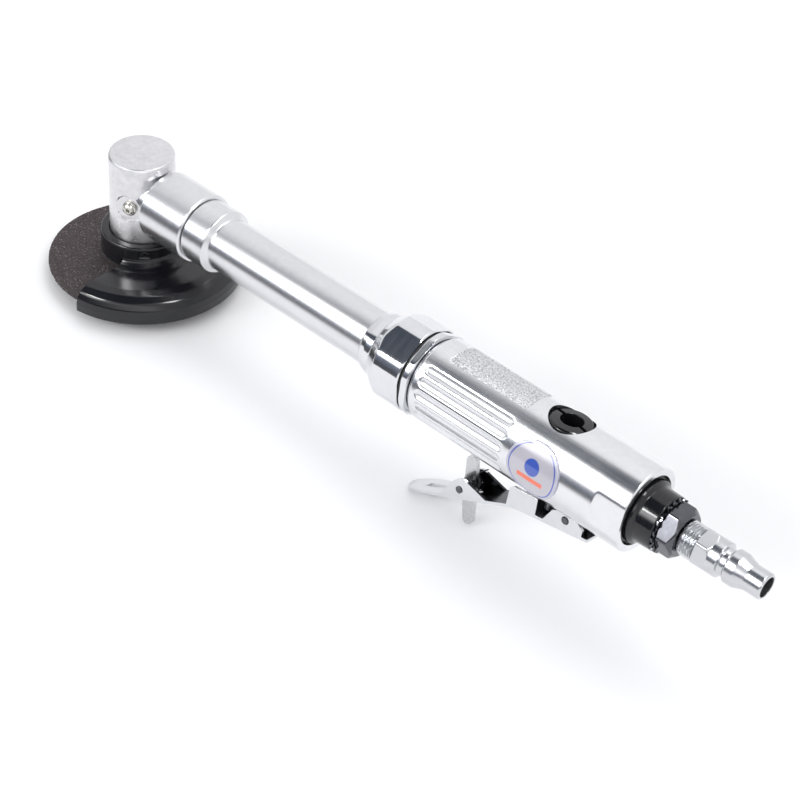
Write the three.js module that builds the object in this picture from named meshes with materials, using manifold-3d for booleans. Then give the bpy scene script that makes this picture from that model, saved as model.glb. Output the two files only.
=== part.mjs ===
// Extended-reach right-angle air cut-off grinder (a long-necked die grinder).
// Millimetres, +Z up. +X runs along the neck and motor towards the air inlet, +Z along the wheel spindle.
// Origin: centre of the flat outer face of the wheel screw, on the spindle axis.
// Inside the builder all numbers are given from the point where the motor axis crosses the spindle axis;
// the outer group lifts everything by SPINDLE_DROP to put the origin on the screw face.
import * as THREE from "three";
import { mergeVertices } from "three/addons/utils/BufferGeometryUtils.js";
import Module from "manifold-3d";

const wasm = await Module();
wasm.setup();

// ---------------------------------------------------------------- driving dimensions
const SPINDLE_DROP = 39.2; // motor axis height above the wheel screw face
const HEAD_R = 13.1;
const HEAD_TOP = 17.75;
const HEAD_BOTTOM = -23.6;
const SOCKET_R = 14.2;
const SOCKET_X0 = 13.4;
const SOCKET_X1 = 35.8;
const TUBE_R = 10.7;
const TUBE_COLLAR_R = 12.9;
const NUT_X0 = 128.6;
const NUT_X1 = 152.5;
const HEX_AF = 32.2;
const HEX_TURNED_R = 17.1;
const HOUSING_R = 16.24;
const HOUSING_X0 = 156.6;
const HOUSING_X1 = 252.5;
const HOUSING_CLOCK = 11; // degrees the motor housing is clocked about the motor axis against the head
const WHEEL_R = 38;
const WHEEL_TOP = -31.8;
const WHEEL_THICK = 1.6;
const GUARD_R = 40.8;
const GUARD_BOTTOM = -35.8;
const GUARD_CUT_X = 6;
const TIP_X = 302.2; // nose of the air plug
const PIVOT = [227.2, -17.5]; // lever pin, x and local z in the housing's clocked frame
const CATCH_PIN = [182.3, -31.9];
const LEVER_HALF_W = 6.3;
const GEAR_TEETH = 15;
const PINION_TEETH = 10;
const GEAR_PITCH_R = 7.5;
const PINION_PITCH_R = 5.0;
const SEG = 28;

// ---------------------------------------------------------------- helpers
const D = Math.PI / 180;

// closed three.js geometry -> manifold solid, faces outwards
function S(geometry) {
  const g = geometry.index ? geometry.toNonIndexed() : geometry.clone();
  g.deleteAttribute("normal");
  g.deleteAttribute("uv");
  const m = mergeVertices(g, 1e-4);
  const triVerts = new Uint32Array(m.index.array);
  const vertProperties = new Float32Array(m.attributes.position.array);
  let s = new wasm.Manifold(new wasm.Mesh({ numProp: 3, vertProperties, triVerts }));
  if (s.volume() < 0) {
    for (let i = 0; i < triVerts.length; i += 3)
      [triVerts[i + 1], triVerts[i + 2]] = [triVerts[i + 2], triVerts[i + 1]];
    s = new wasm.Manifold(new wasm.Mesh({ numProp: 3, vertProperties, triVerts }));
  }
  return s;
}
const join = (a, ...rest) => rest.reduce((s, b) => s.add(b), a);
const cut = (a, ...rest) => rest.reduce((s, b) => s.subtract(b), a);

// revolve about Z; profile is a list of [radius, z]; a ring profile is closed on itself
function turnZ(profile, seg = SEG) {
  const pts = profile.map(([r, z]) => new THREE.Vector2(r, z));
  if (profile[0][0] > 1e-6) pts.push(pts[0].clone());
  const g = new THREE.LatheGeometry(pts, seg);
  g.rotateX(Math.PI / 2);
  return g;
}
// revolve about X; profile is a list of [x, radius]
function turnX(profile, seg = SEG) {
  const pts = profile.map(([x, r]) => new THREE.Vector2(r, x));
  if (profile[0][1] > 1e-6) pts.push(pts[0].clone());
  const g = new THREE.LatheGeometry(pts, seg);
  g.rotateZ(-Math.PI / 2);
  return g;
}
const rodX = (x0, x1, r, seg = SEG) => turnX([[x0, 0], [x0, r], [x1, r], [x1, 0]], seg);
const rodZ = (z0, z1, r, seg = SEG) => turnZ([[0, z0], [r, z0], [r, z1], [0, z1]], seg);
const ringX = (x0, x1, ri, ro, seg = SEG) => turnX([[x0, ri], [x0, ro], [x1, ro], [x1, ri]], seg);
const ringZ = (z0, z1, ri, ro, seg = SEG) => turnZ([[ri, z0], [ro, z0], [ro, z1], [ri, z1]], seg);
function rodY(x, z, y0, y1, r, seg = 16) {
  const g = new THREE.CylinderGeometry(r, r, y1 - y0, seg);
  g.translate(x, (y0 + y1) / 2, z);
  return g;
}
function box(x0, x1, y0, y1, z0, z1) {
  const g = new THREE.BoxGeometry(x1 - x0, y1 - y0, z1 - z0);
  g.translate((x0 + x1) / 2, (y0 + y1) / 2, (z0 + z1) / 2);
  return g;
}
// outline in the XZ plane, extruded from y0 to y1
function plateY(points, y0, y1) {
  const g = new THREE.ExtrudeGeometry(new THREE.Shape(points.map(([x, z]) => new THREE.Vector2(x, z))), {
    depth: y1 - y0,
    bevelEnabled: false,
  });
  g.rotateX(Math.PI / 2);
  g.translate(0, y1, 0);
  return g;
}
// outline in the XY plane, extruded from z0 to z1
function plateZ(points, z0, z1) {
  const g = new THREE.ExtrudeGeometry(new THREE.Shape(points.map(([x, y]) => new THREE.Vector2(x, y))), {
    depth: z1 - z0,
    bevelEnabled: false,
  });
  g.translate(0, 0, z0);
  return g;
}
// outline in the YZ plane, extruded from x0 to x1
function plateX(points, x0, x1) {
  const g = new THREE.ExtrudeGeometry(new THREE.Shape(points.map(([y, z]) => new THREE.Vector2(y, z))), {
    depth: x1 - x0,
    bevelEnabled: false,
  });
  // shape x -> y, shape y -> z, extrusion -> x
  g.applyMatrix4(new THREE.Matrix4().set(0, 0, 1, x0, 1, 0, 0, 0, 0, 1, 0, 0, 0, 0, 0, 1));
  return g;
}
const polygon = (n, r, a0 = 0, cx = 0, cy = 0) =>
  Array.from({ length: n }, (_, i) => [cx + r * Math.cos(a0 + (i * 2 * Math.PI) / n), cy + r * Math.sin(a0 + (i * 2 * Math.PI) / n)]);
// hexagonal prism along X, across-flats af, flats centred on angle flat (degrees from +Y)
const hexX = (x0, x1, af, flat) => plateX(polygon(6, af / 2 / Math.cos(30 * D), (flat + 30) * D), x0, x1);

// straight bevel teeth: a planar tooth outline scaled towards the common apex at the axes' crossing
function bevelTeeth(teeth, tipR, rootR, h, halfTip, halfPitch, pitchR, halfRoot, k0, k1, phase) {
  const outline = [];
  for (let i = 0; i < teeth; i++) {
    const c = phase + (i * 360) / teeth;
    outline.push([rootR, c - halfRoot], [pitchR, c - halfPitch], [tipR, c - halfTip], [tipR, c + halfTip], [pitchR, c + halfPitch], [rootR, c + halfRoot]);
  }
  const n = outline.length;
  const pos = [];
  for (const k of [k0, k1]) for (const [r, a] of outline) pos.push(k * r * Math.cos(a * D), k * r * Math.sin(a * D), -k * h);
  const c0 = 2 * n, c1 = 2 * n + 1;
  pos.push(0, 0, -k0 * h, 0, 0, -k1 * h);
  const idx = [];
  for (let i = 0; i < n; i++) {
    const j = (i + 1) % n;
    idx.push(i, n + i, n + j, i, n + j, j);
    idx.push(c0, i, j);
    idx.push(c1, n + j, n + i);
  }
  const g = new THREE.BufferGeometry();
  g.setAttribute("position", new THREE.BufferAttribute(new Float32Array(pos), 3));
  g.setIndex(idx);
  return g;
}

// ---------------------------------------------------------------- materials and scene graph
const M = {
  satinAluminium: [0xc9cbce, 0.34, 0.95],
  polishedAluminium: [0xd2d4d7, 0.24, 0.97],
  chrome: [0xdcdde0, 0.1, 1.0],
  steel: [0x9a9da2, 0.4, 0.95],
  darkSteel: [0x4a4c50, 0.45, 0.9],
  blackOxide: [0x1b1c1f, 0.35, 0.75],
  blackPaint: [0x0b0b0d, 0.14, 0.1],
  blackPlastic: [0x141416, 0.45, 0.0],
  zinc: [0xd9dcd9, 0.2, 1.0],
  abrasive: [0x3b2c28, 0.95, 0.0],
  rubber: [0x101011, 0.8, 0.0],
  brass: [0xc2a05a, 0.3, 1.0],
  phenolic: [0x6b4a2a, 0.7, 0.0],
  felt: [0x77756f, 1.0, 0.0],
  badge: [0xe8ebf0, 0.15, 0.0],
};
function node(parent, name, solid, mat) {
  const m = solid.getMesh();
  const n = m.numProp;
  const v = new Float32Array(m.numVert * 3);
  for (let i = 0; i < m.numVert; i++) v.set(m.vertProperties.subarray(i * n, i * n + 3), i * 3);
  const g = new THREE.BufferGeometry();
  g.setAttribute("position", new THREE.BufferAttribute(v, 3));
  g.setIndex(new THREE.BufferAttribute(new Uint32Array(m.triVerts), 1));
  const flat = g.toNonIndexed();
  flat.computeVertexNormals();
  const [color, roughness, metalness] = M[mat];
  const mesh = new THREE.Mesh(flat, new THREE.MeshStandardMaterial({ color, roughness, metalness }));
  mesh.name = name;
  parent.add(mesh);
  return mesh;
}

const group = new THREE.Group();
const axesFrame = new THREE.Group(); // axes crossing point
axesFrame.position.set(0, 0, SPINDLE_DROP);
group.add(axesFrame);
const handle = new THREE.Group(); // clocked motor housing frame
handle.rotation.x = -HOUSING_CLOCK * D;
axesFrame.add(handle);

// ================================================================ angle head
{
  const outer = join(
    S(turnZ([[0, HEAD_BOTTOM], [HEAD_R, HEAD_BOTTOM], [HEAD_R, HEAD_TOP - 0.6], [HEAD_R - 0.6, HEAD_TOP], [0, HEAD_TOP]])),
    S(rodX(0, SOCKET_X0 + 0.5, 11.0)),
    S(turnX([[SOCKET_X0, 0], [SOCKET_X0, SOCKET_R - 0.4], [SOCKET_X0 + 0.4, SOCKET_R], [SOCKET_X1 - 0.4, SOCKET_R], [SOCKET_X1, SOCKET_R - 0.4], [SOCKET_X1, 0]])),
  );
  // spot face and hole for the grease fitting, at 66 degrees from +X towards -Y
  const spot = new THREE.CylinderGeometry(5.7, 5.7, 6, 22);
  spot.rotateZ(Math.PI / 2);
  spot.translate(11.8 + 3, 0, -1);
  spot.rotateZ(-66 * D);
  const hole = new THREE.CylinderGeometry(2.3, 2.3, 8, 14);
  hole.rotateZ(Math.PI / 2);
  hole.translate(11, 0, -1);
  hole.rotateZ(-66 * D);
  const head = cut(
    outer,
    S(rodZ(-14.0, 9.0, 9.7)), // bevel gear chamber
    S(rodZ(9.0 - 0.1, 15.2, 6.3)), // upper bearing seat
    S(rodZ(HEAD_BOTTOM - 1, -13.9, 11.3)), // lower bearing seat, open below
    S(rodX(0, 15.1, 6.7)), // pinion chamber
    S(rodX(15.0, 22.1, 9.8)), // pinion bearing seat
    S(rodX(22.0, SOCKET_X1 + 1, 10.3)), // thread for the neck tube
    S(spot),
    S(hole),
  );
  node(axesFrame, "angle_head_housing", head, "satinAluminium");

  const fit = S(turnX([[10.3, 0], [10.3, 1.9], [12.1, 1.9], [12.1, 2.8], [12.9, 2.8], [13.2, 2.3], [13.6, 2.1], [14.1, 1.5], [14.1, 0.8], [12.6, 0.8], [12.6, 0]], 14));
  const fitMesh = node(axesFrame, "grease_fitting", fit, "brass");
  fitMesh.position.set(0, 0, -1);
  fitMesh.rotation.z = -66 * D;
}

// ---------------------------------------------------------------- spindle and its bearings
node(
  axesFrame,
  "spindle",
  cut(
    S(turnZ([[0, -33.0], [4.6, -33.0], [4.6, -28.6], [6.2, -28.6], [6.2, -20.4], [4.7, -20.4], [4.7, -13.9], [5.6, -13.9], [5.6, -8.3], [2.7, -8.3], [2.7, 14.4], [0, 14.4]], 22)),
    S(rodZ(-34, -25.6, 2.6, 14)),
  ),
  "steel",
);
node(axesFrame, "upper_spindle_bearing", S(ringZ(10.4, 14.6, 3.0, 6.0, 20)), "steel");
node(axesFrame, "lower_spindle_bearing", S(ringZ(-20.1, -14.3, 5.0, 11.0, 24)), "steel");
node(axesFrame, "lower_bearing_retainer", S(turnZ([[6.6, -23.3], [10.9, -23.3], [10.9, -20.4], [7.4, -20.4], [6.6, -21.0]], 24)), "darkSteel");

// bevel gear on the spindle, below the motor axis
{
  const teeth = S(bevelTeeth(GEAR_TEETH, 9.0, 5.9, PINION_PITCH_R, 2.3, 5.2, GEAR_PITCH_R, 8.0, 0.68, 1.3, 12));
  const trimmed = teeth.intersect(S(rodZ(-8.0, 0, 9.05, 30)));
  const hub = S(rodZ(-8.0, -6.2, 9.05, 30));
  node(axesFrame, "bevel_gear", cut(join(trimmed, hub), S(rodZ(-9, 0, 3.0, 16))), "darkSteel");
}
// bevel pinion on the motor axis
{
  const t = bevelTeeth(PINION_TEETH, 5.85, 3.85, GEAR_PITCH_R, 3.2, 7.6, PINION_PITCH_R, 12.5, 0.7, 1.0, 0);
  // the outline's -Z becomes +X, its X becomes -Z (a tooth outline's first tooth points down)
  t.applyMatrix4(new THREE.Matrix4().set(0, 0, -1, 0, 0, 1, 0, 0, -1, 0, 0, 0, 0, 0, 0, 1));
  const shank = S(turnX([[7.3, 0], [7.3, 3.8], [13.0, 3.8], [13.0, 5.6], [14.9, 5.6], [14.9, 4.0], [21.6, 4.0], [21.6, 0]], 18));
  node(axesFrame, "bevel_pinion", cut(join(S(t), shank), S(rodX(11.5, 22, 2.4, 14))), "darkSteel");
}
node(axesFrame, "pinion_bearing", S(ringX(15.4, 20.6, 4.3, 9.5, 22)), "steel");

// ================================================================ wheel, flanges and guard
node(axesFrame, "inner_wheel_flange", S(turnZ([[4.9, -31.5], [11.0, -31.5], [11.0, -30.2], [9.5, -29.0], [4.9, -29.0]], 22)), "steel");
node(axesFrame, "cutting_wheel", S(ringZ(WHEEL_TOP - WHEEL_THICK, WHEEL_TOP, 4.9, WHEEL_R, 44)), "abrasive");
node(axesFrame, "outer_wheel_flange", S(turnZ([[2.8, -35.6], [9.5, -35.6], [11.0, -34.6], [11.0, -33.7], [5.2, -33.7], [5.2, -34.0], [2.8, -34.0]], 22)), "steel");
node(
  axesFrame,
  "wheel_screw",
  join(S(rodZ(-35.9, -26.4, 2.3, 14)), S(plateZ(polygon(6, 5.77, 30 * D), -SPINDLE_DROP, -35.9))),
  "darkSteel",
);
{
  const cup = S(
    turnZ(
      [
        [13.4, -16.8], [16.3, -16.8], [16.7, -17.2], [16.7, -21.4], [17.3, -23.2], [19.0, -24.5], [21.6, -24.95], [33.6, -25.0], [36.6, -25.7], [39.4, -27.1], [40.6, -28.8],
        [GUARD_R, -30.4], [GUARD_R, GUARD_BOTTOM], [39.5, GUARD_BOTTOM], [39.5, -30.6], [38.8, -29.2], [36.2, -27.2], [33.4, -26.5], [13.4, -26.3],
      ],
      44,
    ),
  );
  const half = cup.intersect(S(box(GUARD_CUT_X, 50, -50, 50, -40, -10)));
  const band = cup.intersect(S(rodZ(-40, -10, 16.9, 44)));
  // radial clamp screw through the collar, at 40 degrees from +X towards -Y
  const seat = rodX(12, 18, 2.2, 14);
  const screw = rodX(13.45, 16.45, 1.9, 14);
  const socket = rodX(15.0, 17, 1.05, 6);
  for (const g of [seat, screw, socket]) g.translate(0, 0, -20.4).rotateZ(-40 * D);
  node(axesFrame, "wheel_guard", cut(join(half, band), S(seat)), "blackPaint");
  node(axesFrame, "guard_clamp_screw", cut(S(screw), S(socket)), "blackOxide");
}

// ================================================================ neck
node(
  axesFrame,
  "extension_tube",
  cut(
    S(
      turnX([
        [22.4, 0], [22.4, 10.0], [36.1, 10.0], [36.1, TUBE_COLLAR_R], [47.2, TUBE_COLLAR_R], [48.8, TUBE_R],
        [139.3, TUBE_R], [139.35, 13.5], [142.2, 13.5], [142.2, 0],
      ]),
    ),
    S(rodX(21, 137.0, 6.6, 20)),
    S(rodX(136.3, 143, 8.8, 24)),
  ),
  "satinAluminium",
);
node(axesFrame, "drive_shaft", S(turnX([[12.6, 0], [12.6, 2.05], [22.2, 2.05], [22.2, 3.0], [145.4, 3.0], [145.4, 0]], 16)), "steel");
node(axesFrame, "shaft_rear_bearing", S(ringX(136.8, 141.8, 3.3, 8.5, 20)), "steel");
node(axesFrame, "shaft_coupler", S(ringX(142.4, 149.6, 3.3, 5.2, 16)), "darkSteel");
{
  const dome = S(turnX([[NUT_X0, 0], [NUT_X0, 11.1], [130.0, 12.0], [132.4, 12.8], [135.2, 13.3], [136.2, 14.6], [140.2, HEX_TURNED_R], [NUT_X1 - 0.4, HEX_TURNED_R], [NUT_X1, HEX_TURNED_R - 0.4], [NUT_X1, 0]], 36));
  const hex = join(S(hexX(134, NUT_X1, HEX_AF, 124)), S(rodX(NUT_X0 - 1, 136.0, 13.6)));
  node(axesFrame, "coupling_nut", cut(dome.intersect(hex), S(rodX(120, 139.1, 11.0)), S(rodX(139.0, 160, 13.9))), "chrome");
}
node(axesFrame, "coupling_seal_ring", S(ringX(152.8, 153.4, 13.95, 16.3, 28)), "rubber");
{
  const flange = S(turnX([[153.7, 0], [153.7, HEX_TURNED_R - 0.2], [154.0, HEX_TURNED_R], [156.3, HEX_TURNED_R], [156.3, 0]], 36)).intersect(S(hexX(153, 157, HEX_AF, 115.5)));
  node(axesFrame, "motor_front_cap", cut(join(flange, S(rodX(143.4, 154, 13.6)), S(rodX(156, 161.0, 12.9))), S(rodX(140, 170, 6.4, 20))), "chrome");
}

// ================================================================ motor housing (clocked frame)
{
  const R = HOUSING_R;
  let h = S(turnX([[HOUSING_X0, 0], [HOUSING_X0, 15.1], [158.3, R], [HOUSING_X1, R], [HOUSING_X1, 0]], 44));
  // lever lug under the housing and the flat it stands on
  h = cut(h, S(box(204, 237, -8, 8, -18, -15.0)));
  // relief slot that the lever's cheeks rise into when it is pressed
  h = cut(h, S(box(199.9, 226.2, -7.1, 7.1, -18, -13.1)));
  const lug = [];
  for (let i = 0; i <= 8; i++) lug.push([PIVOT[0] + 2.6 * Math.cos((180 + i * 22.5) * D), PIVOT[1] + 2.6 * Math.sin((180 + i * 22.5) * D)]);
  h = join(h, S(plateY([[222.6, -12.5], [222.6, -15.6], ...lug, [231.8, -15.6], [231.8, -12.5]], -3.4, 3.4)));
  // rows of grip flutes on each side
  const flutes = [];
  for (const side of [1, -1])
    for (const a of [52.8, 70, 87.5, 105, 122.5]) {
      const g = new THREE.CapsuleGeometry(2.06, 201.2 - 160.3 - 4.12, 2, 10);
      g.rotateZ(Math.PI / 2);
      g.translate((160.3 + 201.2) / 2, 0, 17.4);
      g.rotateX(side * a * D);
      flutes.push(S(g));
    }
  // shallow recessed panel on top
  const c = 2.2;
  const hw = 7.9;
  const panel = plateZ(
    [[165.5 + c, -hw], [201.6 - c, -hw], [201.6 - 0.6, -hw + 0.6], [201.6, -hw + c], [201.6, hw - c], [201.6 - 0.6, hw - 0.6], [201.6 - c, hw], [165.5 + c, hw], [165.5 + 0.6, hw - 0.6], [165.5, hw - c], [165.5, -hw + c], [165.5 + 0.6, -hw + 0.6]],
    8,
    18,
  );
  const shell = S(ringX(160, 206, 15.75, 18, 44));
  // wrench flats at the rear
  const flats = [S(box(240.6, 260, 14.9, 20, -20, 20)), S(box(240.6, 260, -20, -14.9, -20, 20))];
  h = cut(
    h,
    ...flutes,
    shell.intersect(S(panel)),
    ...flats,
    S(rodX(150, 199.6, 13.3)), // motor bore, open at the front
    S(rodX(199, 231, 3.6, 16)), // air passage on the axis
    S(rodX(230, 246, 8.3, 22)), // inlet bushing thread
    S(rodX(245.4, 260, 13.5, 28)), // exhaust ring space, open at the rear
    S(turnZ([[0, 4.6], [8.5, 4.6], [8.5, 20], [0, 20]], 24).translate(215.5, 0, 0)), // regulator bore
    S(turnZ([[0, -20], [4.2, -20], [4.2, 1.5], [0, 1.5]], 20).translate(216, 0, 0)), // throttle valve bore
    S(rodY(PIVOT[0], PIVOT[1], -6, 6, 1.6, 14)),
    ...[11.0, -11.0].map((y) => S(rodX(198, 247, 1.8, 10).translate(0, y, -3))), // exhaust ports
  );
  node(handle, "motor_housing", h, "polishedAluminium");
}
// ---------------------------------------------------------------- vane motor
node(handle, "front_end_plate", cut(S(rodX(161.4, 166.4, 12.9)), S(rodX(160, 165.0, 8.3, 20)), S(rodX(160, 170, 3.6, 16))), "steel");
node(handle, "front_rotor_bearing", S(ringX(161.6, 164.7, 3.35, 8.0, 20)), "steel");
node(handle, "cylinder_liner", cut(S(rodX(166.7, 191.3, 12.9)), S(rodX(160, 200, 11.0).translate(0, 0, -0.9))), "darkSteel");
{
  const slots = [0, 90, 180, 270].map((a) => {
    const g = box(160, 195, -0.9, 0.9, 5.0, 12);
    g.rotateX((a + 20) * D);
    return S(g);
  });
  node(handle, "rotor", join(cut(S(rodX(167.0, 191.0, 9.7)), ...slots), S(rodX(145.8, 196.6, 3.0, 16))), "steel");
  [1, 2, 3, 4].forEach((n, i) => {
    const g = box(167.2, 190.8, -0.6, 0.6, 5.3, 9.95);
    g.rotateX((i * 90 + 20) * D);
    node(handle, "rotor_vane_" + n, S(g), "phenolic");
  });
}
node(handle, "rear_end_plate", cut(S(rodX(191.6, 196.6, 12.9)), S(rodX(193.0, 200, 8.3, 20)), S(rodX(190, 200, 3.6, 16))), "steel");
node(handle, "rear_rotor_bearing", S(ringX(193.3, 196.4, 3.35, 8.0, 20)), "steel");

// ---------------------------------------------------------------- air regulator
{
  const knob = cut(
    S(turnZ([[0, 4.9], [8.1, 4.9], [8.1, 8.0], [7.2, 8.0], [7.2, 9.8], [8.1, 9.8], [8.1, 14.6], [7.7, 15.0], [4.2, 15.4], [0, 15.4]], 26)),
    S(rodZ(8.2, 20, 4.0, 20)),
    S(box(-9, 9, -0.7, 0.7, 14.0, 17).rotateZ(-12 * D)),
    S(rodZ(4, 8.3, 1.6, 10).translate(2.2, 0, 0)),
  );
  const m = node(handle, "air_regulator", knob, "blackPlastic");
  m.position.set(215.5, 0, 0);
  const ring = node(handle, "regulator_o_ring", S(ringZ(8.25, 9.55, 7.35, 8.15, 22)), "rubber");
  ring.position.set(215.5, 0, 0);
}
// ---------------------------------------------------------------- throttle valve
node(handle, "throttle_valve_bushing", S(turnZ([[1.8, -16.2], [3.9, -16.2], [3.9, -10.2], [1.8, -10.2]], 18)), "blackOxide").position.set(216, 0, 0);
node(handle, "throttle_valve_stem", S(turnZ([[0, -22.2], [0.9, -22.2], [1.45, -21.7], [1.45, -9.6], [3.3, -9.6], [3.3, -7.4], [1.2, -6.9], [1.2, -5.4], [0, -5.4]], 16)), "steel").position.set(216, 0, 0);
{
  // compression spring over the valve head
  const pts = [];
  const turns = 3.5, r = 2.3;
  for (let i = 0; i <= 35; i++) {
    const a = (i / 35) * turns * 2 * Math.PI;
    pts.push(new THREE.Vector3(r * Math.cos(a), r * Math.sin(a), -6.6 + (i / 35) * 7.0));
  }
  const wire = new THREE.ExtrudeGeometry(new THREE.Shape(polygon(4, 0.38).map(([x, y]) => new THREE.Vector2(x, y))), {
    steps: 28, bevelEnabled: false, extrudePath: new THREE.CatmullRomCurve3(pts),
  });
  node(handle, "throttle_valve_spring", S(wire), "steel").position.set(216, 0, 0);
}

// ---------------------------------------------------------------- throttle lever
{
  const W = LEVER_HALF_W, T = 1.1;
  // outer (lower) line of the channel floor, front to rear
  const low = [[157.4, -46.6], [160.5, -45.7], [165.0, -43.7], [174.7, -39.4], [187.5, -33.7], [194.2, -30.7], [201.0, -27.5], [205.0, -25.7], [210.0, -24.7], [218.0, -23.4], [237.6, -20.5]];
  const up = low.map(([x, z], i) => {
    const [xa, za] = low[Math.max(i - 1, 0)], [xb, zb] = low[Math.min(i + 1, low.length - 1)];
    const l = Math.hypot(xb - xa, zb - za);
    return [x - ((zb - za) / l) * T, z + ((xb - xa) / l) * T];
  });
  const floor = S(plateY([...low, ...[...up].reverse()], -W, W));
  const side = [
    // front cheek
    [[174.0, -39.3], [176.4, -34.0], [179.0, -29.8], [180.6, -28.0], [182.6, -27.1], [184.6, -27.3], [195.6, -29.9], [194.2, -30.3], [187.5, -33.3], [174.7, -39.0]],
    // middle cheek
    [[202.4, -18.6], [204.0, -17.2], [214.6, -16.4], [215.1, -23.3], [210.0, -24.3], [205.0, -25.3], [202.6, -26.4]],
    // rear cheek, around the pin
    [[221.2, -16.6], [223.0, -15.6], [232.2, -15.6], [234.9, -17.4], [234.9, -20.5], [218.4, -22.9], [218.0, -23.0]],
  ];
  let lever = floor;
  for (const [y0, y1] of [[-W, -W + T], [W - T, W]]) for (const s of side) lever = join(lever, S(plateY(s, y0, y1)));
  // plan outline: rounded tip
  const plan = [[240, -W]];
  plan.push([240, W]);
  for (let i = 0; i <= 14; i++) {
    const a = (90 + (i * 180) / 14) * D;
    plan.push([157.4 + 8.6 + 8.6 * Math.cos(a), W * Math.sin(a)]);
  }
  lever = lever.intersect(S(plateZ(plan, -60, 0)));
  lever = cut(
    lever,
    S(rodY(PIVOT[0], PIVOT[1], -8, 8, 1.6, 14)),
    S(rodY(CATCH_PIN[0], CATCH_PIN[1], -8, 8, 1.6, 14)),
    S(box(164.8, 187.6, -1.5, 1.5, -52, -32)), // slot the catch folds into
  );
  node(handle, "throttle_lever", lever, "chrome");
  node(handle, "lever_pin", S(rodY(PIVOT[0], PIVOT[1], -6.6, 6.6, 1.3, 12)), "steel");
  node(handle, "catch_pin", S(rodY(CATCH_PIN[0], CATCH_PIN[1], -6.6, 6.6, 1.3, 12)), "steel");
}
{
  // safety catch: a narrow plate that stands between the lever and the housing until it is folded
  const [px, pz] = CATCH_PIN;
  const half = 2.3;
  const top = [px - 1.2, -20.0 - half], bottom = [px + 2.9, -47.2 + half];
  const outline = [];
  for (let i = 0; i <= 8; i++) {
    const a = (6 + i * 22.5 * 0.96) * D;
    outline.push([top[0] + half * Math.cos(a), top[1] + half * Math.sin(a)]);
  }
  outline.push([px - 2.5, pz + 2.5], [px - 2.9, pz], [px - 2.4, pz - 2.5]);
  for (let i = 0; i <= 8; i++) {
    const a = (186 + i * 22.5 * 0.96) * D;
    outline.push([bottom[0] + half * Math.cos(a), bottom[1] + half * Math.sin(a)]);
  }
  outline.push([px + 3.0, pz - 2.5], [px + 3.1, pz], [px + 2.6, pz + 2.5]);
  node(handle, "safety_catch", cut(S(plateY(outline, -0.95, 0.95)), S(rodY(px, pz, -3, 3, 1.6, 14))), "steel");
  // torsion spring wound on the catch pin, with one leg on the channel floor
  const pts = [];
  for (let i = 0; i <= 40; i++) {
    const a = (-60 + (i / 40) * 2.5 * 360) * D;
    pts.push(new THREE.Vector3(px + 2.25 * Math.cos(a), 1.75 + (i / 40) * 2.1, pz + 2.25 * Math.sin(a)));
  }
  const last = pts[pts.length - 1];
  pts.push(new THREE.Vector3(last.x + 2.0, last.y, last.z + 2.6), new THREE.Vector3(last.x + 4.6, last.y, last.z + 5.2));
  const wire = new THREE.ExtrudeGeometry(new THREE.Shape(polygon(4, 0.35).map(([x, y]) => new THREE.Vector2(x, y))), {
    steps: 30, bevelEnabled: false, extrudePath: new THREE.CatmullRomCurve3(pts),
  });
  node(handle, "catch_spring", S(wire), "darkSteel");
}

// ---------------------------------------------------------------- side badge
{
  const disc = S(turnX([[10, 0], [10, 11.0], [20, 11.0], [20, 0]], 32).rotateZ(-Math.PI / 2).translate(215.1, 0, 0));
  const shell = S(ringX(200, 230, HOUSING_R + 0.1, HOUSING_R + 0.8, 44));
  node(handle, "badge", shell.intersect(disc), "badge");
}

// ---------------------------------------------------------------- air inlet end
node(axesFrame, "exhaust_muffler", S(ringX(246.0, 251.0, 10.0, 12.9, 24)), "felt");
node(axesFrame, "exhaust_sleeve", S(turnX([[245.8, 8.4], [245.8, 9.7], [251.3, 9.7], [251.3, 12.2], [253.6, 12.2], [254.6, 10.7], [261.4, 10.5], [261.8, 10.1], [261.8, 8.4]], 26)), "blackPlastic");
{
  const teeth = [];
  for (let i = 0; i < 18; i++) {
    const a = (i / 18) * 360;
    teeth.push([9.4, a - 3.2], [10.4, a - 2.2], [10.4, a + 2.2], [9.4, a + 3.2]);
  }
  const pts = teeth.map(([r, a]) => [r * Math.cos(a * D), r * Math.sin(a * D)]);
  node(axesFrame, "tooth_lock_washer", cut(S(plateX(pts, 262.1, 262.8)), S(rodX(260, 265, 8.3, 20))), "blackOxide");
}
{
  const hex = S(turnX([[263.1, 0], [263.1, 9.0], [263.7, 9.75], [267.4, 9.75], [269.4, 7.9], [269.4, 0]], 28)).intersect(S(hexX(262, 272, 17.2, 143)));
  node(axesFrame, "inlet_bushing", cut(join(hex, S(rodX(231.5, 264, 8.0, 24))), S(rodX(230, 280, 5.6, 20))), "blackOxide");
}
{
  const body = [
    [236.0, 0], [236.0, 5.3], [269.7, 5.3], [270.0, 6.4], [276.0, 6.4],
    [276.1, 7.35], [280.7, 7.35], [281.4, 6.6], [284.9, 6.6], [285.5, 5.3], [287.6, 5.3], [288.4, 6.35], [291.6, 6.35], [295.6, 4.95], [301.8, 4.95], [TIP_X, 4.6], [TIP_X, 0],
  ];
  const hexPart = join(S(hexX(275.8, 281.6, 12.9, 165)), S(rodX(230, 276.05, 8, 12)), S(rodX(281.2, 310, 8, 12)));
  node(axesFrame, "air_plug", cut(S(turnX(body, 24)).intersect(hexPart), S(rodX(230, 310, 3.85, 18))), "zinc");
}

export default group;
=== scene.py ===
import math
import bpy
import bmesh
import numpy as np
from mathutils import Matrix, Vector


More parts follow.
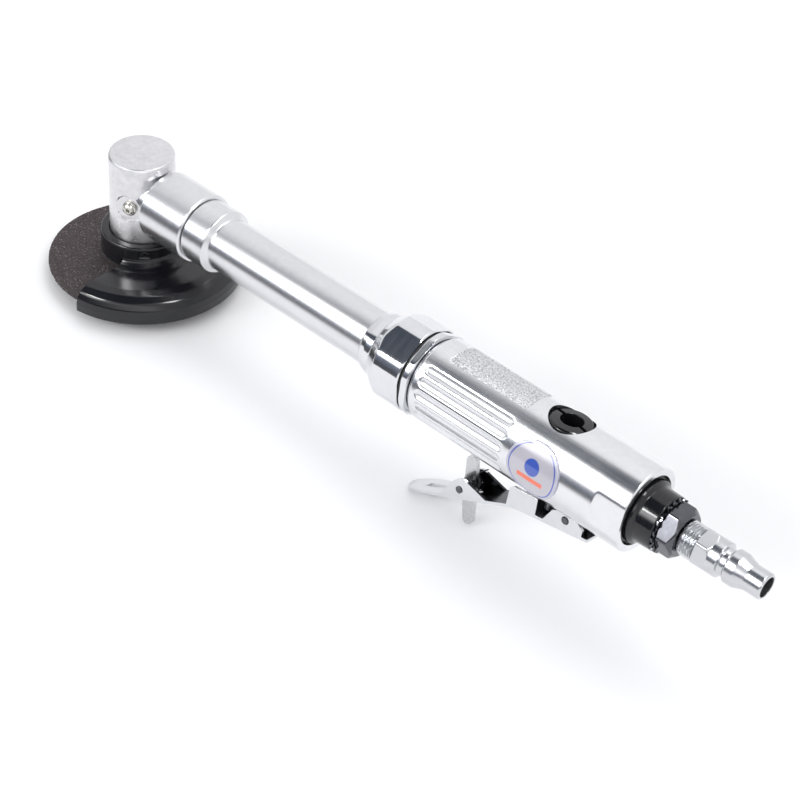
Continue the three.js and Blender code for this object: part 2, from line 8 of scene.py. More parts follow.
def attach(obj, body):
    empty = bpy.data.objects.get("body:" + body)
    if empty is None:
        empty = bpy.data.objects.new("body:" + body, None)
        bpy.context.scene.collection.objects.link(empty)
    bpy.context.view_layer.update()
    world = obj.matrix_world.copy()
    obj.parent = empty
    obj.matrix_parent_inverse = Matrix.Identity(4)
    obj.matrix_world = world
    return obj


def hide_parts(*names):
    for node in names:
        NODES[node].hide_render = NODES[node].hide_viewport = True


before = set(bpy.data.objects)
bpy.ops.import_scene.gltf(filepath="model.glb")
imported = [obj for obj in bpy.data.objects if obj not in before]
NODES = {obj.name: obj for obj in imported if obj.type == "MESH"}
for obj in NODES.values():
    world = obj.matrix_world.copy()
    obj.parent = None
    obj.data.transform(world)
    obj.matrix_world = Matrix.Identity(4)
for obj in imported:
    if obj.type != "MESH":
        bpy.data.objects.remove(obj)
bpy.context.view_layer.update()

# ------------------------------------------------------------------ frames and numbers (millimetres here, metres in the mesh)
DROP = 39.2
CLOCK = math.radians(11)
CA, SA = math.cos(CLOCK), math.sin(CLOCK)
R_HOUSING = 16.24
PIVOT = (227.2, -17.5)
CATCH_PIN = (182.3, -31.9)


def to_row(p, where):
    """millimetres in the head frame 'A' or the clocked housing frame 'H' -> metres in the row frame"""
    p = np.asarray(p, float).reshape(-1, 3).copy()
    if where == "H":
        y, z = p[:, 1].copy(), p[:, 2].copy()
        p[:, 1] = CA * y + SA * z
        p[:, 2] = -SA * y + CA * z
    p[:, 2] += DROP
    return p / 1000.0


def make(name, verts, faces, where="A", smooth=30, weighted=False):
    me = bpy.data.meshes.new(name)
    v = to_row(verts, where)
    me.from_pydata(v.tolist(), [], [tuple(f) for f in faces])
    me.validate()
    bm = bmesh.new()
    bm.from_mesh(me)
    bmesh.ops.recalc_face_normals(bm, faces=bm.faces)
    if bm.calc_volume(signed=True) < 0:
        bmesh.ops.reverse_faces(bm, faces=bm.faces)
    bm.to_mesh(me)
    bm.free()
    me.polygons.foreach_set("use_smooth", [True] * len(me.polygons))
    me.set_sharp_from_angle(angle=math.radians(smooth))
    o = bpy.data.objects.new(name, me)
    bpy.context.scene.collection.objects.link(o)
    if weighted:
        m = o.modifiers.new("wn", "WEIGHTED_NORMAL")
        m.keep_sharp = True
    return o


def resharp(o, smooth=30):
    me = o.data
    me.polygons.foreach_set("use_smooth", [True] * len(me.polygons))
    me.set_sharp_from_angle(angle=math.radians(smooth))


def apply_all(o):
    dg = bpy.context.evaluated_depsgraph_get()
    bpy.context.view_layer.update()
    me = bpy.data.meshes.new_from_object(o.evaluated_get(dg))
    o.modifiers.clear()
    o.data = me


def cut(o, cutter, op="DIFFERENCE"):
    m = o.modifiers.new("b", "BOOLEAN")
    m.operation = op
    m.solver = "MANIFOLD"
    m.object = cutter
    apply_all(o)
    bpy.data.objects.remove(cutter)


def bevel(o, width, segments=3, angle=32):
    m = o.modifiers.new("bev", "BEVEL")
    m.width = width / 1000
    m.segments = segments
    m.limit_method = "ANGLE"
    m.angle_limit = math.radians(angle)
    m.use_clamp_overlap = True
    m.harden_normals = False
    return m


def place(o, material, body, nodes=()):
    o.data.materials.clear()
    o.data.materials.append(material)
    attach(o, body)
    if nodes:
        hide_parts(*([nodes] if isinstance(nodes, str) else nodes))
    return o


# ------------------------------------------------------------------ profile tools
def rounded(pts, rad=0.3, closed=False, n=4):
    """rounds each corner of a polyline; a third number on a point is its own radius"""
    out = []
    N = len(pts)
    for i, p in enumerate(pts):
        r = p[2] if len(p) > 2 else rad
        p = np.array(p[:2], float)
        if not closed and i in (0, N - 1) or r <= 0:
            out.append(tuple(p))
            continue
        a, b = np.array(pts[i - 1][:2], float), np.array(pts[(i + 1) % N][:2], float)
        u, w = a - p, b - p
        lu, lw = np.linalg.norm(u), np.linalg.norm(w)
        if lu < 1e-6 or lw < 1e-6:
            out.append(tuple(p))
            continue
        u, w = u / lu, w / lw
        ang = math.acos(max(-1, min(1, float(u @ w))))
        if ang > math.radians(172):
            out.append(tuple(p))
            continue
        t = min(r / math.tan(ang / 2), 0.42 * lu, 0.42 * lw)
        rr = t * math.tan(ang / 2)
        c = p + (u + w) / np.linalg.norm(u + w) * (rr / math.sin(ang / 2))
        s, e = p + u * t, p + w * t
        a0, a1 = math.atan2(*(s - c)[::-1]), math.atan2(*(e - c)[::-1])
        d = (a1 - a0 + math.pi) % (2 * math.pi) - math.pi
        sup = min(0.06, 0.05 * lu, 0.05 * lw)
        out.append(tuple(s + u * sup))
        for k in range(n + 1):
            th = a0 + d * k / n
            out.append((c[0] + rr * math.cos(th), c[1] + rr * math.sin(th)))
        out.append(tuple(e + w * sup))
    return out


def dense(pts, step, closed=False):
    out = []
    n = len(pts)
    for i in range(n if closed else n - 1):
        a, b = np.array(pts[i][:2], float), np.array(pts[(i + 1) % n][:2], float)
        k = max(1, int(math.ceil(np.linalg.norm(b - a) / step)))
        out += [tuple(a + (b - a) * j / k) for j in range(k)]
    if not closed:
        out.append(tuple(pts[-1][:2]))
    return out


def ring_points(axis, a, r, th):
    """one ring: a (position along the axis) and r may be arrays over th"""
    a = np.broadcast_to(np.asarray(a, float), th.shape)
    c, s = r * np.cos(th), r * np.sin(th)
    return np.stack([a, c, s], 1) if axis == "X" else np.stack([c, s, a], 1)


def skin(name, rings, closed=True, poles=(None, None), where="A", smooth=30, weighted=False):
    n = len(rings[0])
    v = np.concatenate(rings)
    f = []
    m = len(rings)
    j = np.arange(n)
    jn = (j + 1) % n
    for i in range(m if closed else m - 1):
        i2 = (i + 1) % m
        f.append(np.stack([i * n + j, i * n + jn, i2 * n + jn, i2 * n + j], 1))
    f = np.concatenate(f).tolist()
    if not closed:
        k = len(v)
        v = np.concatenate([v, np.array([poles[0], poles[1]], float)])
        f += [[k, int(b), int(a)] for a, b in zip(j, jn)]
        o = (m - 1) * n
        f += [[k + 1, int(o + a), int(o + b)] for a, b in zip(j, jn)]
    return make(name, v, f, where, smooth, weighted)


def lathe(name, axis, prof, segs=128, rad=0.25, where="A", at=(0, 0, 0), tilt=None, smooth=30, shape=None, step=None, weighted=False):
    """prof: [(along, radius)], closed ring or from axis to axis; shape(along, radius, th) may change the radius"""
    closed = prof[0][1] > 1e-6
    p = rounded(prof, rad, closed)
    if step:
        p = dense(p, step, closed)
    th = np.linspace(0, 2 * math.pi, segs, endpoint=False) if np.isscalar(segs) else np.asarray(segs)
    core = p if closed else p[1:-1]
    rings = []
    for a, r in core:
        rr = shape(a, r, th) if shape else np.full(th.shape, r)
        rings.append(ring_points(axis, a, rr, th))
    ends = (None, None)
    if not closed:
        ends = tuple((q[0], 0, 0) if axis == "X" else (0, 0, q[0]) for q in (p[0], p[-1]))
    if tilt is not None:
        M = tilt
        rings = [r @ M.T + np.array(at) for r in rings]
        if not closed:
            ends = tuple(np.array(e) @ M.T + np.array(at) for e in ends)
    else:
        rings = [r + np.array(at) for r in rings]
        if not closed:
            ends = tuple(np.array(e) + np.array(at) for e in ends)
    return skin(name, rings, closed, ends, where, smooth, weighted)


def softmin(a, b, k):
    return 0.5 * (a + b - np.sqrt((a - b) ** 2 + k * k))


def hexagon(af, flat_deg, k=0.18):
    """radius cut to a hexagon with rounded corners; flats face flat_deg + 60 n"""
    def f(a, r, th):
        d = (th - math.radians(flat_deg) + math.pi / 6) % (math.pi / 3) - math.pi / 6
        return softmin(np.full(th.shape, float(r)), af / 2 / np.cos(d), k) + (k * k / 4) / (abs(af / 2 - r) + k)
    return f


def smoothstep(x, a, b):
    t = np.clip((x - a) / (b - a), 0, 1)
    return t * t * (3 - 2 * t)


# ------------------------------------------------------------------ materials
class Nodes:
    def __init__(self, name):
        self.m = bpy.data.materials.new(name)
        self.m.use_nodes = True
        self.t = self.m.node_tree
        self.b = self.t.nodes["Principled BSDF"]
        self.co = self.t.nodes.new("ShaderNodeTexCoord").outputs["Object"]

    def new(self, kind, **k):
        n = self.t.nodes.new(kind)
        for key, v in k.items():
            setattr(n, key, v)
        return n

    def link(self, a, b):
        self.t.links.new(a, b)

    def mapped(self, scale=(1, 1, 1), rot=(0, 0, 0)):
        n = self.new("ShaderNodeMapping")
        n.inputs["Scale"].default_value = scale
        n.inputs["Rotation"].default_value = rot
        self.link(self.co, n.inputs["Vector"])
        return n.outputs[0]

    def noise(self, scale, detail=3, rough=0.55, vec=None):
        n = self.new("ShaderNodeTexNoise")
        n.inputs["Scale"].default_value = scale
        n.inputs["Detail"].default_value = detail
        n.inputs["Roughness"].default_value = rough
        self.link(vec or self.co, n.inputs["Vector"])
        return n.outputs["Fac"]

    def ramp(self, fac, stops):
        n = self.new("ShaderNodeValToRGB")
        e = n.color_ramp.elements
        e[0].position, e[1].position = stops[0][0], stops[-1][0]
        for i, (p, c) in enumerate(stops):
            el = e[0] if i == 0 else (e[-1] if i == len(stops) - 1 else e.new(p))
            el.color = (c, c, c, 1) if np.isscalar(c) else (*c, 1)
        self.link(fac, n.inputs[0])
        return n.outputs[0]

    def math(self, op, a, b=None, c=None):
        n = self.new("ShaderNodeMath", operation=op)
        for i, x in enumerate((a, b, c)):
            if x is None:
                continue
            if isinstance(x, (int, float)):
                n.inputs[i].default_value = x
            else:
                self.link(x, n.inputs[i])
        return n.outputs[0]

    def bump(self, height, strength, dist, prev=None):
        n = self.new("ShaderNodeBump")
        n.inputs["Strength"].default_value = strength
        n.inputs["Distance"].default_value = dist
        self.link(height, n.inputs["Height"])
        if prev is not None:
            self.link(prev, n.inputs["Normal"])
        return n.outputs[0]

    def set(self, **k):
        for key, v in k.items():
            s = self.b.inputs[key.replace("_", " ")]
            if hasattr(v, "is_linked") or hasattr(v, "links"):
                self.link(v, s)
            else:
                s.default_value = (*v, 1) if isinstance(v, tuple) and len(v) == 3 and s.type == "RGBA" else v
        return self


def metal(name, color, rough, grain_axis=None, grain=0.25, spot=0.06, aniso=0.0, dirt=0.08, bumpy=0.0, bump_scale=900):
    """turned, brushed or cast metal: streaks across grain_axis, patchy gloss, faint stains"""
    n = Nodes(name)
    big = n.noise(38, 4, 0.6)
    fine = n.noise(420, 3, 0.6)
    if grain_axis:
        s = {"X": (2600, 30, 30), "Y": (30, 2600, 30), "Z": (30, 30, 2600), "L": (12, 1500, 1500)}[grain_axis]
        streak = n.noise(1.0, 3, 0.65, n.mapped(s))
    else:
        streak = fine
    lo, hi = rough * (1 - grain), rough * (1 + grain)
    r1 = n.ramp(streak, [(0.3, lo), (0.7, hi)])
    r2 = n.ramp(big, [(0.35, -0.0), (0.7, spot)])
    n.set(Roughness=n.math("ADD", r1, r2))
    c = np.array(color)
    stain = n.ramp(n.math("MULTIPLY", big, fine), [(0.12, tuple(c)), (0.42, tuple(c * (1 - dirt)))])
    n.set(Base_Color=stain, Metallic=1.0)
    h = n.bump(streak, 0.03 * grain / 0.25, 0.00002)
    if bumpy:
        h = n.bump(n.noise(bump_scale, 4, 0.6), bumpy, 0.00012, h)
    n.set(Normal=h)
    if aniso:
        n.b.inputs["Anisotropic"].default_value = aniso
    return n.m


M = {}
M["head"] = metal("cast_satin_aluminium", (0.765, 0.76, 0.775), 0.28, None, 0.06, 0.04, dirt=0.2, bumpy=0.02, bump_scale=260)
M["tube"] = metal("turned_satin_aluminium", (0.75, 0.753, 0.768), 0.25, None, 0.03, 0.0, dirt=0.07)
M["steel"] = metal("ground_steel", (0.56, 0.57, 0.59), 0.28, "X", 0.2, 0.08)
M["steelz"] = metal("turned_steel", (0.56, 0.57, 0.59), 0.26, "Z", 0.2, 0.08)
M["dark"] = metal("hardened_steel", (0.12, 0.125, 0.135), 0.34, None, 0.3, 0.1)
M["chrome"] = metal("chrome_plate", (0.69, 0.70, 0.72), 0.09, None, 0.25, 0.04, bumpy=0.05, bump_scale=160)
# near-black painted shade and painted dark reflection for the chrome lever's channel inside, lower bends and rear top
# edges
M["shade"] = metal("lever_painted_shade", (0.035, 0.037, 0.043), 0.16, None, 0.3, 0.08, bumpy=0.08, bump_scale=240, dirt=0.3)
M["nut"] = metal("polished_nut", (0.76, 0.77, 0.79), 0.11, "X", 0.2, 0.04, bumpy=0.06, bump_scale=520)
M["zinc"] = metal("bright_zinc", (0.64, 0.65, 0.665), 0.20, "X", 0.15, 0.05, bumpy=0.03, bump_scale=400)
M["oxide"] = metal("black_oxide", (0.13, 0.132, 0.145), 0.12, None, 0.2, 0.03, dirt=0.2, bumpy=0.04, bump_scale=900)
M["brass"] = metal("nickelled_brass", (0.60, 0.585, 0.54), 0.24, "Z", 0.2, 0.06)
M["strip"] = metal("stamped_steel", (0.60, 0.60, 0.61), 0.26, None, 0.2, 0.06)


def housing_metal():
    """polished housing; the recessed panel has a stippled ground"""
    n = Nodes("polished_housing")
    big = n.noise(30, 4, 0.6)
    fine = n.noise(500, 3, 0.6)
    streak = n.noise(1.0, 3, 0.65, n.mapped((14, 1300, 1300)))
    pad = n.new("ShaderNodeAttribute", attribute_name="pad").outputs["Fac"]
    groove = n.new("ShaderNodeAttribute", attribute_name="groove").outputs["Fac"]
    r = n.math("ADD", n.ramp(streak, [(0.3, 0.17), (0.7, 0.22)]), n.ramp(big, [(0.35, 0.0), (0.7, 0.06)]))
    r = n.math("ADD", r, n.math("MULTIPLY", pad, 0.24))
    n.set(Roughness=n.math("ADD", r, n.math("MULTIPLY", groove, 0.12)), Metallic=1.0)
    col = n.ramp(n.math("MULTIPLY", big, fine), [(0.12, (0.80, 0.805, 0.82)), (0.42, (0.74, 0.745, 0.76))])
    mix = n.new("ShaderNodeMix", data_type="RGBA")
    n.link(n.math("MULTIPLY", pad, 0.9), mix.inputs["Factor"])
    n.link(col, mix.inputs[6])
    mottle = n.ramp(n.noise(1750, 3, 0.65), [(0.41, (0.30, 0.30, 0.31)), (0.56, (0.78, 0.78, 0.79))])
    n.link(mottle, mix.inputs[7])
    n.set(Base_Color=mix.outputs[2])
    stip = n.noise(2100, 2, 0.6)
    h = n.bump(streak, 0.03, 0.00002)
    h = n.bump(n.noise(300, 3, 0.5), 0.07, 0.0001, h)
    h = n.bump(n.math("MULTIPLY", stip, pad), 0.8, 0.0004, h)
    n.set(Normal=h)
    return n.m


M["housing"] = housing_metal()


def gloss_black():
    n = Nodes("gloss_black_paint")
    peel = n.noise(260, 2, 0.5)
    fine = n.noise(1800, 2, 0.5)
    n.set(Base_Color=n.ramp(n.noise(60, 3), [(0.3, (0.006, 0.006, 0.008)), (0.75, (0.010, 0.010, 0.013))]),
          Roughness=n.ramp(fine, [(0.3, 0.13), (0.75, 0.20)]), Normal=n.bump(peel, 0.10, 0.00025))
    return n.m


def plastic(name, a, b, rough=0.42, scale=1600, bump=0.25, shine=0.5):
    n = Nodes(name)
    g = n.noise(scale, 3, 0.6)
    n.set(Base_Color=n.ramp(n.noise(90, 4), [(0.3, a), (0.75, b)]), Roughness=n.ramp(g, [(0.3, rough - 0.08), (0.75, rough + 0.1)]),
          Normal=n.bump(g, bump, 0.00008))
    n.b.inputs["Specular IOR Level"].default_value = shine
    return n.m


def abrasive():
    """resin-bonded grit, dark, with sparse bright grains and a faint uneven weave"""
    n = Nodes("bonded_abrasive")
    v = n.new("ShaderNodeTexVoronoi", feature="F1")
    v.inputs["Scale"].default_value = 1900
    n.link(n.co, v.inputs["Vector"])
    w = n.new("ShaderNodeTexVoronoi", feature="F1")
    w.inputs["Scale"].default_value = 1500
    n.link(n.mapped((1, 1, 1), (0, 0, 0.6)), w.inputs["Vector"])
    grit = n.noise(2600, 4, 0.75)
    wob = n.noise(700, 2, 0.5)
    sep = n.new("ShaderNodeSeparateXYZ")
    n.link(n.mapped((1, 1, 1), (0, 0, math.radians(38))), sep.inputs[0])
    lines = []
    for ax in (0, 1):
        ph = n.math("ADD", n.math("MULTIPLY", sep.outputs[ax], 2 * math.pi / 0.0021), n.math("MULTIPLY", wob, 5.0))
        lines.append(n.ramp(n.math("SINE", ph), [(0.55, 0.0), (1.0, 1.0)]))
    mesh = n.math("MAXIMUM", lines[0], lines[1])
    base = n.ramp(grit, [(0.34, (0.014, 0.011, 0.012)), (0.52, (0.052, 0.042, 0.043)), (0.70, (0.16, 0.13, 0.135))])
    mix = n.new("ShaderNodeMix", data_type="RGBA")
    n.link(n.math("MULTIPLY", mesh, 0.35), mix.inputs["Factor"])
    n.link(base, mix.inputs[6])
    mix.inputs[7].default_value = (0.085, 0.066, 0.066, 1)
    cell = n.new("ShaderNodeSeparateXYZ")
    n.link(w.outputs["Color"], cell.inputs[0])
    spark = n.math("MULTIPLY", n.ramp(cell.outputs[0], [(0.74, 0.0), (0.98, 1.0)]), n.ramp(w.outputs["Distance"], [(0.22, 1.0), (0.50, 0.0)]))
    mix2 = n.new("ShaderNodeMix", data_type="RGBA")
    n.link(spark, mix2.inputs["Factor"])
    n.link(mix.outputs[2], mix2.inputs[6])
    mix2.inputs[7].default_value = (0.27, 0.235, 0.24, 1)
    n.set(Base_Color=mix2.outputs[2], Roughness=n.ramp(grit, [(0.3, 0.95), (0.7, 0.65)]))
    n.b.inputs["Specular IOR Level"].default_value = 0.3
    h = n.bump(v.outputs["Distance"], 0.7, 0.0004)
    h = n.bump(grit, 0.7, 0.0003, h)
    n.set(Normal=h)
    return n.m


def badge_face():
    """domed badge: pale face, a thin blue ring, a plain dot and bar, no lettering"""
    n = Nodes("badge_dome")
    u = n.new("ShaderNodeAttribute", attribute_name="rad").outputs["Fac"]      # 0 centre .. 1 rim
    w = n.new("ShaderNodeAttribute", attribute_name="across").outputs["Fac"]   # -1 .. 1 across the disc
    up = n.new("ShaderNodeAttribute", attribute_name="upward").outputs["Fac"]
    face = n.ramp(n.noise(55, 3), [(0.3, (0.42, 0.41, 0.45)), (0.7, (0.48, 0.465, 0.51))])

    def over(below, fac, colour):
        m = n.new("ShaderNodeMix", data_type="RGBA")
        n.link(fac, m.inputs["Factor"])
        n.link(below, m.inputs[6])
        m.inputs[7].default_value = (*colour, 1)
        return m.outputs[2]

    def band(x, a, b, e=0.012):
        return n.math("MULTIPLY", n.ramp(x, [(a - e, 0.0), (a + e, 1.0)]), n.ramp(x, [(b - e, 1.0), (b + e, 0.0)]))

    c = over(face, band(u, 0.86, 0.905), (0.06, 0.10, 0.42))
    c = over(c, band(u, 0.955, 1.2), (0.46, 0.46, 0.56))
    # plain geometric mark: a solid dot over a bar
    wa = n.math("ABSOLUTE", w)
    upc = n.math("SUBTRACT", up, 0.14)
    dot = n.math("SQRT", n.math("ADD", n.math("MULTIPLY", w, w), n.math("MULTIPLY", upc, upc)))
    c = over(c, n.ramp(dot, [(0.265, 1.0), (0.295, 0.0)]), (0.04, 0.09, 0.42))
    bar = n.math("MULTIPLY", n.math("LESS_THAN", wa, 0.50), n.math("MULTIPLY", n.math("LESS_THAN", up, -0.20), n.math("GREATER_THAN", up, -0.36)))
    c = over(c, bar, (0.75, 0.13, 0.06))
    n.set(Base_Color=c, Roughness=n.ramp(n.noise(900, 2), [(0.3, 0.16), (0.7, 0.22)]))
    n.b.inputs["Coat Weight"].default_value = 1.0
    n.b.inputs["Coat Roughness"].default_value = 0.04
    n.set(Normal=n.bump(n.noise(180, 2), 0.04, 0.0001))
    return n.m


M["paint"] = gloss_black()
M["plastic"] = plastic("black_plastic", (0.005, 0.005, 0.007), (0.009, 0.009, 0.011), 0.14, 1600, 0.03, shine=0.5)
M["rubber"] = plastic("black_rubber", (0.010, 0.010, 0.010), (0.022, 0.022, 0.022), 0.65, 900, 0.4)
M["phenolic"] = plastic("brown_phenolic", (0.20, 0.11, 0.05), (0.28, 0.17, 0.09), 0.5)
M["felt"] = plastic("grey_felt", (0.16, 0.155, 0.15), (0.24, 0.235, 0.23), 0.85, 2400, 0.9)
M["grit"] = abrasive()
M["badge"] = badge_face()

Zrot = lambda deg: np.array([[math.cos(math.radians(deg)), -math.sin(math.radians(deg)), 0], [math.sin(math.radians(deg)), math.cos(math.radians(deg)), 0], [0, 0, 1]])


# ------------------------------------------------------------------ angle head
def head():
    az0 = math.radians(-66)
    th = np.linspace(0, 2 * math.pi, 300, endpoint=False)
    # finer around the spot face
    th = np.sort(np.concatenate([th, az0 % (2 * math.pi) + np.linspace(-0.5, 0.5, 90)]))

    def shape(z, r, t):
        if r < 12.0 and z > -23 and z < 17:
            return np.full(t.shape, float(r))
        d = (t - az0 + math.pi) % (2 * math.pi) - math.pi
        flat = 11.8 / np.cos(np.clip(d, -0.6, 0.6))
        q = np.sqrt((11.8 * np.tan(np.clip(d, -0.6, 0.6))) ** 2 + (z + 1) ** 2)
        inside = (1 - smoothstep(q, 5.55, 5.85)) * (np.abs(d) < 0.55)
        return np.where(inside > 0, np.minimum(r, flat) * inside + r * (1 - inside), r)

    prof = [(15.2, 0), (15.2, 6.3), (9.0, 6.3), (9.0, 9.7), (-14.0, 9.7), (-14.0, 11.3), (-23.6, 11.3), (-23.6, 13.1), (16.8, 13.1, 0.25), (17.6, 12.66, 0.15), (17.75, 12.4, 0.1), (17.75, 0)]
    a = lathe("head_barrel", "Z", prof, th, 0.3, shape=shape, step=0.4, weighted=False)
    # horizontal socket, its front end following the barrel's wall
    t = np.linspace(0, 2 * math.pi, 192, endpoint=False)
    rings = []
    outer = [(0.0, 12.2)]

    def wall(r, R):
        y = r * np.cos(t)
        return np.sqrt(np.maximum(R * R - y * y, 0))

    def put(x, r):
        rings.append(ring_points("X", x, np.broadcast_to(r, t.shape), t))

    put(wall(6.7, 11.0), 6.7)
    put(wall(11.0, 12.0), 11.0)
    for k in (0.0, 0.5, 1.0):
        put(np.maximum(wall(11.0, 12.0), 0) * (1 - k) + 13.2 * k, 11.0)
    for x, r in rounded([(13.3, 11.0, 0), (13.4, 11.4, 0.1), (13.45, 13.7, 0.5), (14.0, 14.2, 0.5), (35.2, 14.2, 0.3), (35.8, 13.7, 0.25), (35.8, 10.3, 0.2), (22.0, 10.3, 0), (22.0, 9.8, 0), (15.0, 9.8, 0), (15.0, 6.7, 0)], 0.3):
        put(x, r)
    b = skin("head_socket", rings, True)
    k = lathe("c0", "X", [(11.75, 0), (11.75, 5.75), (18, 5.75), (18, 0)], 96, 0, at=(0, 0, -1), tilt=Zrot(-66))
    cut(b, k)
    resharp(b, 32)
    place(a, M["head"], "tool_body", "angle_head_housing")
    place(b, M["tube"], "tool_body", ())
    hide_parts("angle_head_housing")


head()

o = lathe("grease_nipple", "X", [(10.3, 0), (10.3, 1.9), (11.9, 1.9), (11.9, 3.0, 0.25), (12.9, 3.0, 0.3), (13.2, 2.3, 0.3), (13.6, 2.1, 0.3), (14.1, 1.5, 0.25), (14.1, 0.8, 0.1), (12.6, 0.7), (12.6, 0)], 72, 0.15, at=(0, 0, -1), tilt=Zrot(-66))
place(o, M["brass"], "tool_body", "grease_fitting")

# ------------------------------------------------------------------ neck
o = lathe("neck_tube", "X", [(22.4, 6.6), (22.4, 10.0), (36.1, 10.0), (36.1, 12.9, 0.35), (47.2, 12.9, 0.8), (48.9, 10.7, 1.0), (139.2, 10.7, 0), (139.35, 13.5), (142.2, 13.5), (142.2, 8.8), (136.5, 8.8), (136.5, 6.6)], 160, 0.2)
place(o, M["tube"], "tool_body", "extension_tube")

nut_prof = [(128.6, 11.1, 0.15), (128.7, 11.35, 0.2), (129.6, 12.0, 1.0), (132.0, 12.75, 3.0), (135.2, 13.2, 1.5), (136.0, 14.3, 0.6), (140.4, 17.1, 1.2), (151.9, 17.1, 0.4), (152.5, 16.6, 0.25), (152.5, 13.9), (139.1, 13.9), (139.1, 11.1)]
o = lathe("coupling_nut_hex", "X", nut_prof, 360, 0.3, shape=lambda a, r, th: hexagon(32.2, 124)(a, r, th) if r > 15 else np.full(th.shape, float(r)), step=0.35, weighted=True)
place(o, M["nut"], "tool_body", "coupling_nut")
o = lathe("seal_ring", "X", [(152.75, 13.95), (152.75, 16.2), (153.45, 16.2), (153.45, 13.95)], 128, 0.2)
place(o, M["rubber"], "tool_body", "coupling_seal_ring")
cap_prof = [(143.4, 6.4), (143.4, 13.6), (153.7, 13.6, 0), (153.7, 16.7, 0.2), (154.1, 17.1, 0.25), (156.0, 17.1, 0.25), (156.35, 16.8, 0.2), (156.35, 13.0, 0), (161.0, 12.9), (161.0, 6.4)]
o = lathe("front_cap_hex", "X", cap_prof, 360, 0.2, shape=lambda a, r, th: hexagon(32.2, 115.5)(a, r, th) if r > 15 else np.full(th.shape, float(r)), step=0.4, weighted=True)
place(o, M["nut"], "tool_body", "motor_front_cap")


